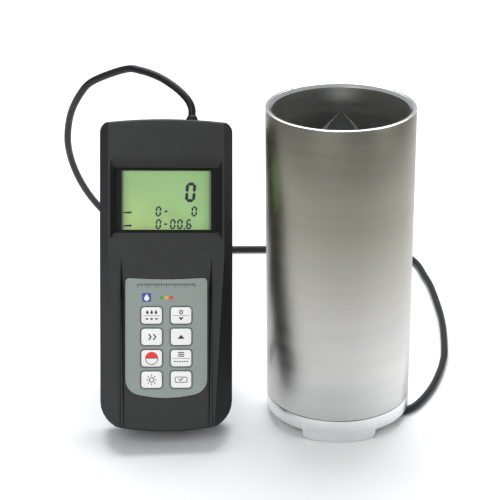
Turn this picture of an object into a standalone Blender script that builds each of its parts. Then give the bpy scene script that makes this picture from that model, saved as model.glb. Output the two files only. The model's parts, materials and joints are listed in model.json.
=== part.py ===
"""A grain moisture meter: a hand-held meter leaning on its tilt stand, wired to a standing sample cup.

Run it with blender --background --python part.py, or from Blender's text editor.
Sizes below are in millimetres, and MM turns them into Blender's metres. +Z is up, the meter and the cup
face -Y, and the origin is on the table under the middle of both.
"""

import math

import bmesh
import bpy
import numpy as np
from mathutils import Matrix, Vector

MM = 0.001
GAP = 0.3  # clearance between pieces that touch
ARC_STEP = 7.0  # longest straight stretch of a wide arc

# ---- where the two units stand
METER_AT = (-47.84, -17.75, -0.85)
METER_LEAN = 23.7  # degrees back from upright
METER_TURN = 4.3  # degrees about its own length, towards the cup
CUP_AT = (43.66, 1.15)

# ---- handset, in its own axes: X across, Y up its length, Z out of the face, from the lower back edge
CASE_W, CASE_L = 68.5, 161.0
PARTING = 15.0
FACE = 31.0
FACE_UNDER = 27.8
WALL = 2.2
BOTTOM_BOW, BOTTOM_CORNER = (136.0, 0.158), 13.0  # bow radius and end slope
TOP_BOW, TOP_CORNER = (281.0, 0.1032), 5.0
FACET_TOP, FACET_END, FACET_BREAK = 29.8, 24.5, 90.0  # face half-widths, and where they start to narrow
FACET_SLOPE = 1.443
RIB_X, RIB_W, RIB_FOOT, RIB_SHOULDER, RIB_TIP = 22.7, 2.7, 2.9, 72.6, 90.6

WINDOW = (26.4, 102.4, 135.9)  # half-width, low and high edge of the display opening
WINDOW_DISH = (28.8, 99.0, 140.1)
WINDOW_TOP = 28.8
GREEN = (23.1, 104.0, 134.5)

KEY_W, KEY_H, KEY_R = 10.6, 8.45, 1.6
KEY_COLUMNS = (-7.55, 7.55)
KEY_ROWS = (59.9, 48.9, 37.9, 26.9)
KEY_TOP = 31.5
KEY_TRAVEL = 0.6
DOME_TOP = 25.3  # top of the rubber domes under the keys
DOME_ROOM = 0.3  # left between a dome and a key's stem at full press
PAD_HALF, PAD_TOP, PAD_LOW = 21.0, 79.2, 16.0
PAD_FLOOR, PAD_FACE = 30.3, 31.0

BOARD = (25.5, 12.0, 146.0, 22.0, 23.6)  # half-width, low end, high end, back, front
SCREWS = ((-18.0, 86.0), (18.0, 86.0), (-26.0, 151.0), (26.0, 151.0))
CABLE_X = 13.4

CELL_R, CELL_L, CELL_PITCH, CELL_Z = 5.2, 43.7, 10.8, 7.7
BAY = (22.2, 18.5, 73.0, 13.2)  # half-width, low end, high end, depth
DOOR_T = 1.9
DOOR_HINGE_GAP = 0.5  # room for the door's corners to swing past the bay's end
DOOR_AXLE = 0.95  # the hinge line, in from the door's edge and from its back
DOOR_GRIPS = (60.0, 62.5, 65.0)

STAND_PIVOT = (96.0, 2.0)  # Y and Z of the hinge
STAND_OPEN = 36.0
STAND_LEG = (24.6, 29.6)
STAND_LENGTH = 88.6
STAND_T = 3.0
STAND_BAR = 6.5
POCKET_DEPTH, POCKET_END = 3.5, 2.4  # depth, and run past the hinge
LINER = 1.6  # wall left round the battery bay and over the stand's pocket

# ---- cup, in its own axes: Z up from the table
CUP_R, CUP_H, CUP_BORE = 38.1, 171.9, 34.85
BASE_TOP, LUG_H = 12.6, 4.85
LUG_CENTRES, LUG_HALF = (-90.0, 35.0, 145.0), 30.0
SIDES = 72
TIP_Z, ELECTRODE_R = 169.2, 12.5
FLOOR = (20.0, 24.0)
SENSOR_X = 22.0
CLAMP_ANGLE, CLAMP_R = -13.2, (14.0, 24.0)

# ---- cable
CABLE_R = 2.0
CABLE_STEP = 11.0  # between the points of the tube
FINE = 20  # steps of the smooth curve between two points of the route
CABLE_ROUTE = (  # from the handset's top end, over and down behind it, along the table and round the cup
    (-33.35, 35.3, 154.7), (-33.5, 36.9, 158.4), (-35.4, 39.6, 161.8), (-39.3, 43.0, 165.2),
    (-44.4, 46.6, 168.2), (-51.5, 51.5, 171.0), (-61.0, 57.5, 172.5), (-70.4, 63.4, 171.4),
    (-89.2, 76.9, 160.7), (-97.5, 84.6, 151.1), (-105.1, 95.1, 135.8), (-109.4, 107.0, 117.3),
    (-109.9, 117.8, 101.1), (-107.6, 129.0, 84.5), (-103.6, 139.7, 69.7), (-98.2, 150.3, 56.0),
    (-91.2, 162.6, 41.5), (-82.0, 176.5, 26.5), (-70.0, 190.0, 13.8), (-55.0, 200.8, 5.8),
    (-38.0, 207.2, 2.8), (-20.2, 209.8, 2.2), (30.0, 210.3, 2.2), (58.0, 211.0, 2.2), (79.0, 208.6, 2.2),
    (92.5, 200.5, 2.2), (99.5, 187.5, 2.2), (103.2, 169.0, 2.2), (106.5, 147.5, 2.2), (109.0, 103.7, 2.2),
    (107.2, 64.4, 2.2), (104.6, 47.5, 2.2), (100.6, 31.5, 2.2), (95.2, 16.0, 2.2), (88.9, 3.2, 2.2),
    (83.8, -3.9, 2.2), (78.6, -7.2, 2.2), (73.0, -5.75, 2.2), (67.35, -4.4, 2.2),
)


def make_material(name, colour, roughness, metallic=0.0):
    made = bpy.data.materials.new(name)
    made.use_nodes = True
    shader = made.node_tree.nodes["Principled BSDF"]
    shader.inputs["Base Color"].default_value = (*colour, 1.0)
    shader.inputs["Roughness"].default_value = roughness
    shader.inputs["Metallic"].default_value = metallic
    made.diffuse_color = (*colour, 1.0)
    return made


def new_collection(name):
    made = bpy.data.collections.new(name)
    bpy.context.scene.collection.children.link(made)
    return made


def place(bm, name, parent, at=(0, 0, 0), helper=False):
    """An object from a bmesh in millimetres of its parent's axes, with its origin at a point of them."""
    bmesh.ops.translate(bm, verts=bm.verts, vec=-Vector(at))
    bmesh.ops.scale(bm, verts=bm.verts, vec=(MM, MM, MM))
    bmesh.ops.recalc_face_normals(bm, faces=bm.faces)
    mesh = bpy.data.meshes.new(name)
    bm.to_mesh(mesh)
    bm.free()
    obj = bpy.data.objects.new(name, mesh)
    (CUTTERS if helper else METER).objects.link(obj)
    obj.parent = parent
    obj.location = Vector(at) * MM
    if helper:
        obj.hide_render = True
        obj.display_type = "WIRE"
    return obj


def finish(obj, material, sharp=35.0):
    obj.data.materials.append(material)
    obj.data.shade_smooth()
    obj.data.set_sharp_from_angle(angle=math.radians(sharp))
    return obj


def helpers(target, shapes, operation):
    """Booleans of the target with each bmesh, kept as helper objects under the same parent."""
    tools = []
    for shape in shapes:
        name = f"{target.name}_{operation.lower()}_{len(target.modifiers) + 1}"
        tool = place(shape, name, target.parent, helper=True)
        modifier = target.modifiers.new(name, "BOOLEAN")
        modifier.operation = operation
        modifier.object = tool
        modifier.solver = "EXACT"
        tools.append(tool)
    return tools


def hollow_out(cover, hollow, kept):
    """Hollows a cover, with the kept shapes left standing in it."""
    tool, = helpers(cover, [hollow], "DIFFERENCE")
    helpers(tool, kept, "DIFFERENCE")


def piece(name, bm, material, parent, cuts=(), joins=(), at=(0, 0, 0)):
    obj = finish(place(bm, name, parent, at), material)
    helpers(obj, joins, "UNION")
    helpers(obj, cuts, "DIFFERENCE")
    return obj


def merged(bms):
    """One bmesh that holds several separate closed shapes."""
    whole = bmesh.new()
    for bm in bms:
        mesh = bpy.data.meshes.new("part_of_a_tool")
        bm.to_mesh(mesh)
        bm.free()
        whole.from_mesh(mesh)
        bpy.data.meshes.remove(mesh)
    return whole


def box(low, high):
    bm = bmesh.new()
    bmesh.ops.create_cube(bm, size=1.0)
    size = [b - a for a, b in zip(low, high)]
    centre = [(a + b) / 2 for a, b in zip(low, high)]
    bmesh.ops.scale(bm, verts=bm.verts, vec=size)
    bmesh.ops.translate(bm, verts=bm.verts, vec=centre)
    return bm


def rod(start, end, radius, end_radius=None, sides=24):
    """A cylinder or cone between two points."""
    start, end = Vector(start), Vector(end)
    bm = bmesh.new()
    bmesh.ops.create_cone(
        bm, cap_ends=True, segments=sides, radius1=radius,
        radius2=radius if end_radius is None else end_radius, depth=(end - start).length,
    )
    turn = Vector((0, 0, 1)).rotation_difference(end - start).to_matrix().to_4x4()
    bmesh.ops.transform(bm, verts=bm.verts, matrix=Matrix.Translation((start + end) / 2) @ turn)
    return bm


def rounded(corners, turn_per_step=15.0):
    """Points of a polygon whose corners (x, y, radius) are arcs."""
    points = []
    for i, (x, y, radius) in enumerate(corners):
        here = Vector((x, y))
        back = (Vector(corners[i - 1][:2]) - here).normalized()
        ahead = (Vector(corners[(i + 1) % len(corners)][:2]) - here).normalized()
        turn = math.pi - back.angle(ahead)
        if radius <= 0 or turn < 1e-4:
            points.append(here)
            continue
        centre = here + (back + ahead).normalized() * (radius / math.cos(turn / 2))
        start = here + back * (radius * math.tan(turn / 2)) - centre
        steps = max(2, round(math.degrees(turn) / turn_per_step), round(turn * radius / ARC_STEP))
        side = 1 if back.x * ahead.y - back.y * ahead.x < 0 else -1
        for step in range(steps + 1):
            points.append(centre + Matrix.Rotation(side * turn * step / steps, 2) @ start)
    return points


def prism(points, low, high):
    """A flat outline raised from one height to another."""
    bm = bmesh.new()
    verts = [bm.verts.new((p[0], p[1], low)) for p in points]
    floor = bm.faces.new(verts)
    raised = bmesh.ops.extrude_face_region(bm, geom=[floor])
    top = [v for v in raised["geom"] if isinstance(v, bmesh.types.BMVert)]
    bmesh.ops.translate(bm, verts=top, vec=(0, 0, high - low))
    bmesh.ops.recalc_face_normals(bm, faces=bm.faces)
    return bm


def slab(half, low, high, back, front, radius=1.0):
    """A plate with rounded corners, symmetric about X = 0."""
    return prism(
        rounded([(-half, low, radius), (half, low, radius), (half, high, radius), (-half, high, radius)], 30),
        back, front,
    )


def soften(bm, width, segments, chosen):
    """Rounds the edges that a test of their two ends picks."""
    edges = [e for e in bm.edges if chosen(e.verts[0].co, e.verts[1].co)]
    bmesh.ops.bevel(
        bm, geom=edges, offset=width, segments=segments, profile=0.5, affect="EDGES", clamp_overlap=True
    )
    return bm


def turned(name, profile, material, parent, at=(0, 0, 0), sides=32):
    """A turned solid piece. The profile (radius, height) runs down the outer side from the top."""
    bm = bmesh.new()
    verts = [bm.verts.new((r * MM, 0, z * MM)) for r, z in profile]
    for a, b in zip(verts, verts[1:]):
        bm.edges.new((a, b))
    mesh = bpy.data.meshes.new(name)
    bm.to_mesh(mesh)
    bm.free()
    obj = bpy.data.objects.new(name, mesh)
    METER.objects.link(obj)
    obj.parent = parent
    obj.location = Vector(at) * MM
    screw = obj.modifiers.new("turn", "SCREW")
    screw.steps = screw.render_steps = sides
    screw.use_merge_vertices = True
    screw.merge_threshold = 0.00001
    screw.use_smooth_shade = False
    mesh.materials.append(material)
    return obj


# ---------------------------------------------------------------- handset shells


def case_outline(inset=0.0):
    """The outline of the case, counter-clockwise, with bowed ends."""
    half = CASE_W / 2 - inset
    bow, slope = BOTTOM_BOW
    top_bow, top_slope = TOP_BOW
    dip = bow * (math.sqrt(1 + slope * slope) - 1)
    rise = top_bow * (math.sqrt(1 + top_slope * top_slope) - 1)
    low, high = inset - dip, CASE_L - inset + rise
    return rounded([
        (0, low, bow - inset),
        (half, low + slope * half, BOTTOM_CORNER - inset),
        (half, high - top_slope * half, TOP_CORNER - inset),
        (0, high, top_bow - inset),
        (-half, high - top_slope * half, TOP_CORNER - inset),
        (-half, low + slope * half, BOTTOM_CORNER - inset),
    ], 13.0)


def slice_off(bm, point, normal):
    """Cuts away what lies past a plane and closes the cut."""
    cut = bmesh.ops.bisect_plane(
        bm, geom=bm.verts[:] + bm.edges[:] + bm.faces[:], plane_co=point, plane_no=normal, clear_outer=True
    )
    edges = [e for e in cut["geom_cut"] if isinstance(e, bmesh.types.BMEdge)]
    bmesh.ops.edgeloop_fill(bm, edges=edges)


def front_block(inset, back, face):
    """The front cover's outer form: its outline with the four facets that slope away from the face."""
    bm = prism(case_outline(inset), back, face)
    shift = inset / math.sin(math.atan(FACET_SLOPE))
    top = FACET_TOP - shift + (FACE - face) / FACET_SLOPE
    end = FACET_END - shift + (FACE - face) / FACET_SLOPE
    for side in (-1, 1):
        slice_off(bm, (side * top, 0, face), (side * FACET_SLOPE, 0, 1))
    run = Vector((end - top, -FACET_BREAK, 0)).normalized()
    for side in (-1, 1):
        lower_normal = (side * -run.y * FACET_SLOPE, run.x * FACET_SLOPE, 1)
        slice_off(bm, (side * top, FACET_BREAK, face), lower_normal)
    return bm


def window_dish():
    """The sloping surround that sinks from the face to the display window."""
    half, low, high = WINDOW
    out, out_low, out_high = WINDOW_DISH
    bm = slab(half, low, high, WINDOW_TOP, FACE + 1, 0.6)
    grow = (FACE + 1 - WINDOW_TOP) / (FACE - WINDOW_TOP)
    for v in bm.verts:
        if v.co.z > FACE:
            v.co.x *= 1 + (out / half - 1) * grow
            middle = (low + high) / 2
            reach = (out_high - high) if v.co.y > middle else (low - out_low)
            v.co.y += math.copysign(reach * grow, v.co.y - middle)
    return bm


def pad_outline(inset=0.0):
    """The keypad overlay's outline: hollow top edge, bowed bottom."""
    half = PAD_HALF - inset
    low = PAD_LOW + inset
    high = PAD_TOP - inset
    return rounded([
        (0, low, 60.0),
        (half, low + 0.22 * half, 8.0 - inset),
        (half, high, 2.0),
        (0, high - 1.0, 160.0),
        (-half, high, 2.0),
        (-half, low + 0.22 * half, 8.0 - inset),
    ], 15)


def key_hole(x, y, back, front, room=GAP):
    half_w, half_h = KEY_W / 2 + room, KEY_H / 2 + room
    radius = KEY_R + room
    points = rounded([
        (x - half_w, y - half_h, radius), (x + half_w, y - half_h, radius),
        (x + half_w, y + half_h, radius), (x - half_w, y + half_h, radius),
    ], 30)
    return prism(points, back, front)


def key_places():
    for row, y in enumerate(KEY_ROWS):
        for column, x in enumerate(KEY_COLUMNS):
            yield 2 * row + column + 1, x, y


def rib(side):
    """A raised rib beside the keypad, running out to a point."""
    half = RIB_W / 2
    tip = RIB_X + 0.6
    points = [
        (side * (RIB_X - half), RIB_FOOT), (side * (RIB_X + half), RIB_FOOT),
        (side * (RIB_X + half), RIB_SHOULDER), (side * (tip + 0.3), RIB_TIP),
        (side * (tip - 0.3), RIB_TIP), (side * (RIB_X - half), RIB_SHOULDER),
    ]
    bm = prism(points, FACE - 1.2, FACE + 1.0)
    for v in bm.verts:
        if v.co.z > FACE:
            centre = side * (RIB_X if v.co.y < RIB_TIP - 1 else tip)
            v.co.x = centre + (v.co.x - centre) * 0.45
            if v.co.y > RIB_TIP - 1:
                v.co.z = FACE + 0.05
    return bm


def grommet_hole():
    return rod((CABLE_X, 150, PARTING), (CABLE_X, 170, PARTING), 3.6, sides=20)


def build_front_cover(material, parent):
    shell = front_block(0.0, PARTING + GAP / 2, FACE)

    def end_edge(a, b):
        both_face = min(a.z, b.z) > FACE - 0.01
        return both_face and (min(a.y, b.y) > 150 or max(a.y, b.y) < 12) and abs(a.x - b.x) > 0.01

    soften(shell, 1.6, 3, end_edge)
    posts = merged([rod((x, y, PARTING - 2), (x, y, FACE), 3.4, sides=16) for x, y in SCREWS])
    cover = piece("front_cover", shell, material, parent, joins=[rib(-1), rib(1)])
    hollow_out(cover, front_block(WALL, PARTING - 1, FACE_UNDER), [posts])
    half, low, high = WINDOW
    helpers(cover, [
        window_dish(),
        slab(half, low, high, FACE_UNDER - 1, WINDOW_TOP + 0.01, 0.6),
        prism(pad_outline(-GAP), PAD_FLOOR, FACE + 3),
        merged([key_hole(x, y, FACE_UNDER - 1, FACE + 1) for _, x, y in key_places()]),
        merged([rod((x, y, PARTING - 2), (x, y, 24), 1.6, sides=12) for x, y in SCREWS]),
        grommet_hole(),
    ], "DIFFERENCE")


def stand_frame(room, back, front, end=0.0):
    """The folded tilt stand's two legs and the bar across their feet, or with room added their pocket."""
    inner, outer = STAND_LEG
    pivot = STAND_PIVOT[0]
    foot = pivot - STAND_LENGTH
    legs = [
        box((near - room, foot - room, back), (far + room, pivot + end, front))
        for near, far in ((-outer, -inner), (inner, outer))
    ]
    bar = box((-outer - room, foot - room, back), (outer + room, foot + STAND_BAR + room, front))
    return legs, bar


def build_rear_cover(material, parent):
    shell = prism(case_outline(), 0, PARTING - GAP / 2)
    soften(shell, 3.0, 3, lambda a, b: max(a.z, b.z) < 0.01)
    half, low, high, depth = BAY
    inner, outer = STAND_LEG
    foot = STAND_PIVOT[0] - STAND_LENGTH
    roof = POCKET_DEPTH + LINER
    kept = [
        box((-half - LINER, low - LINER, 0), (half + LINER, high + LINER, PARTING + 3)),
        box((-outer - 2.2, foot - 3, -1), (-inner + 2.0, STAND_PIVOT[0] + 4.4, roof)),
        box((inner - 2.0, foot - 3, -1), (outer + 2.2, STAND_PIVOT[0] + 4.4, roof)),
        box((-outer, foot - 3.1, -1), (outer, foot + STAND_BAR + 2.0, roof)),
        merged([rod((x, y, 0), (x, y, PARTING + 2), 4.2, sides=16) for x, y in SCREWS]),
    ]
    cover = piece("rear_cover", shell, material, parent)
    hollow_out(cover, prism(case_outline(WALL), WALL, PARTING + 1), kept)
    legs, bar = stand_frame(GAP + 0.1, -1, POCKET_DEPTH, POCKET_END)
    helpers(cover, [
        box((-half, low, -1), (half, high, depth)),
        *legs,
        bar,
        rod((-outer - 1.6, *STAND_PIVOT), (outer + 1.6, *STAND_PIVOT), 1.1, sides=12),
        slab(5.5, high - 1.0, high + 4.0, -1, 1.3, 1.5),
        merged([rod((x, y, -1), (x, y, 8.2), 2.9, sides=16) for x, y in SCREWS]),
        merged([rod((x, y, 7), (x, y, PARTING + 3), 1.6, sides=12) for x, y in SCREWS]),
        grommet_hole(),
    ], "DIFFERENCE")


# ---------------------------------------------------------------- handset contents


def build_display(parent, clear, black, glass, white):
    half, low, high = WINDOW
    pane = slab(half - GAP, low + GAP, high - GAP, 27.5, WINDOW_TOP - 0.1, 0.4)
    piece("display_window", pane, clear, parent)
    green_half, green_low, green_high = GREEN
    piece(
        "display_frame", slab(half + 1.4, low - 1.6, high + 1.6, 26.2, 27.2), black, parent,
        cuts=[slab(green_half, green_low, green_high, 25, 29, 0.3)],
    )
    cell = slab(green_half + 1.5, green_low - 1.2, green_high + 1.4, 25.0, 25.9, 0.3)
    piece("display_glass", cell, glass, parent)
    lit = slab(green_half + 1.2, green_low - 1.0, green_high + 1.2, 23.9, 24.7, 0.3)
    piece("backlight", lit, white, parent)


def build_keypad(parent, overlay, white, rubber):
    piece(
        "keypad_overlay", prism(pad_outline(), PAD_FLOOR + GAP, PAD_FACE), overlay, parent,
        cuts=[merged([key_hole(x, y, PAD_FLOOR - 1, FACE + 1) for _, x, y in key_places()])],
    )
    foot = DOME_TOP + KEY_TRAVEL + DOME_ROOM
    for number, x, y in key_places():
        cap = key_hole(x, y, 27.4, KEY_TOP, room=0)
        soften(cap, 0.25, 1, lambda a, b: min(a.z, b.z) > KEY_TOP - 0.01)
        flange = key_hole(x, y, 26.9, 27.5, room=0.9)
        stem = rod((x, y, foot), (x, y, 27.0), 2.0, sides=12)
        piece(f"key_{number}", cap, white, parent, joins=[flange, stem], at=(x, y, KEY_TOP))
    domes = [rod((x, y, 24.6), (x, y, DOME_TOP), 3.0, 2.2, sides=12) for _, x, y in key_places()]
    piece("key_mat", slab(19.0, 19.0, 69.0, 23.9, 24.7, 2.0), rubber, parent, joins=[merged(domes)])


def build_board(parent, green, black, cream):
    half, low, high, back, front = BOARD
    holes = [rod((x, y, back - 1), (x, y, front + 1), 4.0, sides=16) for x, y in SCREWS[:2]]
    piece("main_board", slab(half, low, high, back, front, 2.0), green, parent, cuts=[merged(holes)])
    piece("buzzer", rod((0, 112, 17.0), (0, 112, back - GAP), 6.0), black, parent)
    piece("cable_connector", box((CABLE_X - 4, 136, 16.6), (CABLE_X + 4, 142, back - GAP)), cream, parent)


def build_batteries(parent, wrap, steel):
    for number in range(4):
        x = (number - 1.5) * CELL_PITCH
        up = 1 if number % 2 == 0 else -1
        middle = 44.9
        tail = middle - up * CELL_L / 2
        shoulder = middle + up * CELL_L / 2
        nub = rod((x, shoulder - up * 0.5, CELL_Z), (x, shoulder + up * 0.8, CELL_Z), 1.9, sides=16)
        body = rod((x, tail, CELL_Z), (x, shoulder, CELL_Z), CELL_R)
        piece(f"battery_{number + 1}", body, wrap, parent, joins=[nub])
    for name, plate, point in (("contact_strip_low", 18.9, 21.9), ("contact_strip_high", 72.2, 67.9)):
        across = [(number - 1.5) * CELL_PITCH for number in range(4)]
        springs = [rod((x, plate + 0.2, CELL_Z), (x, point, CELL_Z), 3.4, 1.6, sides=12) for x in across]
        strip = box((-20.8, plate, 3.2), (20.8, plate + 0.4, 12.6))
        piece(name, strip, steel, parent, joins=[merged(springs)])


def build_battery_door(parent, material):
    half, low, high, _ = BAY
    edge = low + DOOR_HINGE_GAP
    door = slab(half - GAP, edge, high - GAP, 0.0, DOOR_T, 0.4)

    def hinge_edge(a, b):
        return max(a.y, b.y) < edge + 0.01 and abs(a.z - b.z) < 0.01 and abs(a.x - b.x) > 5

    soften(door, 0.85, 3, hinge_edge)
    grips = merged([box((-8, y, -1), (8, y + 1, 0.5)) for y in DOOR_GRIPS])
    piece("battery_door", door, material, parent, cuts=[grips], at=(0, edge + DOOR_AXLE, DOOR_AXLE))


def build_screws(parent, steel):
    for number, (x, y) in enumerate(SCREWS, start=1):
        head = rod((x, y, 6.0), (x, y, 7.9), 2.5, sides=20)
        shank = rod((x, y, 7.5), (x, y, 22.0), 1.3, sides=12)
        slot = box((x - 1.6, y - 0.3, 5.5), (x + 1.6, y + 0.3, 6.7))
        cross = box((x - 0.3, y - 1.6, 5.5), (x + 0.3, y + 1.6, 6.7))
        piece(f"case_screw_{number}", head, steel, parent, joins=[shank], cuts=[slot, cross])


def build_grommet(parent, rubber):
    def along(y):
        return (CABLE_X, y, PARTING)

    body = rod(along(154.0), along(156.9), 4.6, sides=20)
    neck = rod(along(156.5), along(161.6), 3.3, sides=20)
    nose = rod(along(161.5), along(163.4), 3.3, 2.6, sides=20)
    piece("cable_grommet", body, rubber, parent, joins=[neck, nose])


def build_stand(parent, material, steel):
    pivot_y, pivot_z = STAND_PIVOT
    pivot = Vector((0, pivot_y, pivot_z))
    legs, bar = stand_frame(0, GAP, GAP + STAND_T)
    inner, outer = STAND_LEG
    middle = GAP + STAND_T / 2
    ends = [
        rod((side * inner, pivot_y, middle), (side * outer, pivot_y, middle), STAND_T / 2, sides=16)
        for side in (-1, 1)
    ]
    bore = rod((-outer - 1, pivot_y, pivot_z), (outer + 1, pivot_y, pivot_z), 1.1, sides=12)
    hinge = bpy.data.objects.new("stand_hinge", None)
    METER.objects.link(hinge)
    hinge.parent = parent
    hinge.location = pivot * MM
    hinge.rotation_euler.x = math.radians(STAND_OPEN)
    for bm in [bar, *legs, *ends, bore]:
        bmesh.ops.translate(bm, verts=bm.verts, vec=-pivot)
    piece("tilt_stand", bar, material, hinge, joins=[*legs, *ends], cuts=[bore])
    reach = outer + 1.3
    axle = rod((-reach, pivot_y, pivot_z), (reach, pivot_y, pivot_z), 0.8, sides=12)
    piece("stand_rod", axle, steel, parent)


# ---------------------------------------------------------------- sample cup


def wedge(start, end, low, high):
    """A sector of a disc, used to clear the spaces between the lugs."""
    steps = max(2, round((end - start) / 15))
    angles = [math.radians(start + (end - start) * k / steps) for k in range(steps + 1)]
    return prism([(0, 0)] + [(60 * math.cos(a), 60 * math.sin(a)) for a in angles], low, high)


def ring_mesh(profile, sides=SIDES):
    """A closed ring spun from a profile of (radius, height), as a bmesh."""
    bm = bmesh.new()
    verts = [bm.verts.new((r, 0, z)) for r, z in profile]
    edges = [bm.edges.new((verts[i - 1], verts[i])) for i in range(len(verts))]
    bmesh.ops.spin(
        bm, geom=verts + edges, cent=(0, 0, 0), axis=(0, 0, 1), dvec=(0, 0, 0), angle=2 * math.pi,
        steps=sides, use_merge=True, use_duplicate=False,
    )
    bmesh.ops.remove_doubles(bm, verts=bm.verts, dist=0.001)
    bmesh.ops.recalc_face_normals(bm, faces=bm.faces)
    return bm


def build_cup(parent, silver, white, green, steel, black):
    wall = [
        (CUP_R - 1.7, CUP_H), (CUP_R - 0.5, CUP_H), (CUP_R, CUP_H - 0.5), (CUP_R, BASE_TOP + 0.4),
        (CUP_R - 0.4, BASE_TOP), (CUP_BORE, BASE_TOP), (CUP_BORE, CUP_H - 1.6),
    ]
    piece("cup_wall", ring_mesh(wall), silver, parent)

    top = BASE_TOP - GAP
    spigot = CUP_BORE - GAP
    ring = [
        (CUP_R, top - 0.4), (CUP_R, 0), (32.6, 0), (32.6, LUG_H), (30.6, LUG_H), (30.6, 10.3), (24.0, 10.3),
        (24.0, 13.0), (30.6, 13.0), (30.6, FLOOR[0] - GAP), (spigot, FLOOR[0] - GAP), (spigot, top),
        (CUP_R - 0.4, top),
    ]
    gaps = []
    for here, nxt in zip(LUG_CENTRES, LUG_CENTRES[1:] + (LUG_CENTRES[0] + 360,)):
        gaps.append(wedge(here + LUG_HALF, nxt - LUG_HALF, -1, LUG_H))
    holes = [rod((*p, 9), (*p, 14), 1.5, sides=12) for p in base_screw_places()]
    piece("base_ring", ring_mesh(ring), silver, parent, cuts=[*gaps, merged(holes)])
    plate_holes = [rod((*p, 7), (*p, 11), 1.5, sides=12) for p in base_screw_places()]
    plate = rod((0, 0, 8.0), (0, 0, 10.0), 30.2, sides=48)
    piece("base_plate", plate, steel, parent, cuts=[merged(plate_holes)])
    for number, p in enumerate(base_screw_places(), start=1):
        head = rod((*p, 6.2), (*p, 7.7), 2.4, sides=20)
        slot = box((p[0] - 1.7, p[1] - 0.3, 5.5), (p[0] + 1.7, p[1] + 0.3, 6.8))
        cross = box((p[0] - 0.3, p[1] - 1.7, 5.5), (p[0] + 0.3, p[1] + 1.7, 6.8))
        piece(f"base_screw_{number}", head, steel, parent,
              joins=[rod((*p, 7.4), (*p, 12.7), 1.2, sides=12)], cuts=[slot, cross])

    stud_hole = rod((0, 0, FLOOR[0] - 1), (0, 0, FLOOR[1] + 1), 3.3, sides=20)
    sensor_hole = rod((SENSOR_X, 0, FLOOR[0] - 1), (SENSOR_X, 0, FLOOR[1] + 1), 2.8, sides=20)
    disc = rod((0, 0, FLOOR[0]), (0, 0, FLOOR[1]), CUP_BORE - GAP, sides=SIDES)
    piece("floor_insulator", disc, white, parent, cuts=[stud_hole, sensor_hole])
    seat = FLOOR[1] + GAP
    turned("centre_electrode", [
        (0, TIP_Z), (ELECTRODE_R, TIP_Z - ELECTRODE_R), (ELECTRODE_R, seat),
        (3.0, seat), (3.0, 16.6), (0, 16.6),
    ], silver, parent, sides=32)
    nut = rod((0, 0, 17.2), (0, 0, FLOOR[0] - GAP), 5.6, sides=6)
    piece("electrode_nut", nut, steel, parent, cuts=[rod((0, 0, 15), (0, 0, 22), 3.3, sides=20)])
    turned("temperature_sensor", [
        (0, 25.9), (1.6, 25.6), (2.8, 24.9), (3.2, seat), (2.5, seat), (2.5, 18.4), (0, 18.4),
    ], steel, parent, at=(SENSOR_X, 0, 0), sides=20)
    piece("sensor_board", rod((0, 0, 13.3), (0, 0, 14.9), 30.0, sides=48), green, parent)

    near, far = CLAMP_R
    clamp = box((near, -4.5, 0.8), (far, 4.5, 7.7))
    soften(clamp, 1.0, 2, lambda a, b: abs(a.z - b.z) > 1)
    turn = Matrix.Rotation(math.radians(CLAMP_ANGLE), 3, "Z")
    bmesh.ops.rotate(clamp, verts=clamp.verts, cent=(0, 0, 0), matrix=turn)
    piece("cable_clamp", clamp, black, parent)


def base_screw_places():
    return [(27.2 * math.cos(math.radians(a)), 27.2 * math.sin(math.radians(a))) for a in LUG_CENTRES]


# ---------------------------------------------------------------- cable


def smooth_points(route, step):
    """Points about a step apart on the Catmull-Rom curve through the route; its first stretch stays whole."""
    route = [Vector(p) for p in route]
    ends = [2 * route[0] - route[1]] + route + [2 * route[-1] - route[-2]]
    fine = []
    for a, b, c, d in zip(ends, ends[1:], ends[2:], ends[3:]):
        for k in range(FINE):
            t = k / FINE
            fine.append(0.5 * (
                2 * b + (c - a) * t + (2 * a - 5 * b + 4 * c - d) * t ** 2 + (3 * b - a - 3 * c + d) * t ** 3
            ))
    fine = np.array(fine + [route[-1]])
    lengths = np.concatenate([[0], np.cumsum(np.linalg.norm(np.diff(fine, axis=0), axis=1))])
    count = round((lengths[-1] - lengths[FINE]) / step)
    at = np.append(0, np.linspace(lengths[FINE], lengths[-1], count + 1))
    return [Vector(np.interp(at_one, lengths, axis) for axis in fine.T) for at_one in at]


def build_cable(material):
    points = smooth_points(CABLE_ROUTE, CABLE_STEP)
    curve = bpy.data.curves.new("sensor_cable", "CURVE")
    curve.dimensions = "3D"
    curve.bevel_depth = CABLE_R * MM
    curve.bevel_resolution = 2
    curve.use_fill_caps = True
    spline = curve.splines.new("POLY")
    spline.points.add(len(points) - 1)
    for slot, point in zip(spline.points, points):
        slot.co = (*(point * MM), 1.0)
    curve.materials.append(material)
    obj = bpy.data.objects.new("sensor_cable", curve)
    METER.objects.link(obj)


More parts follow.
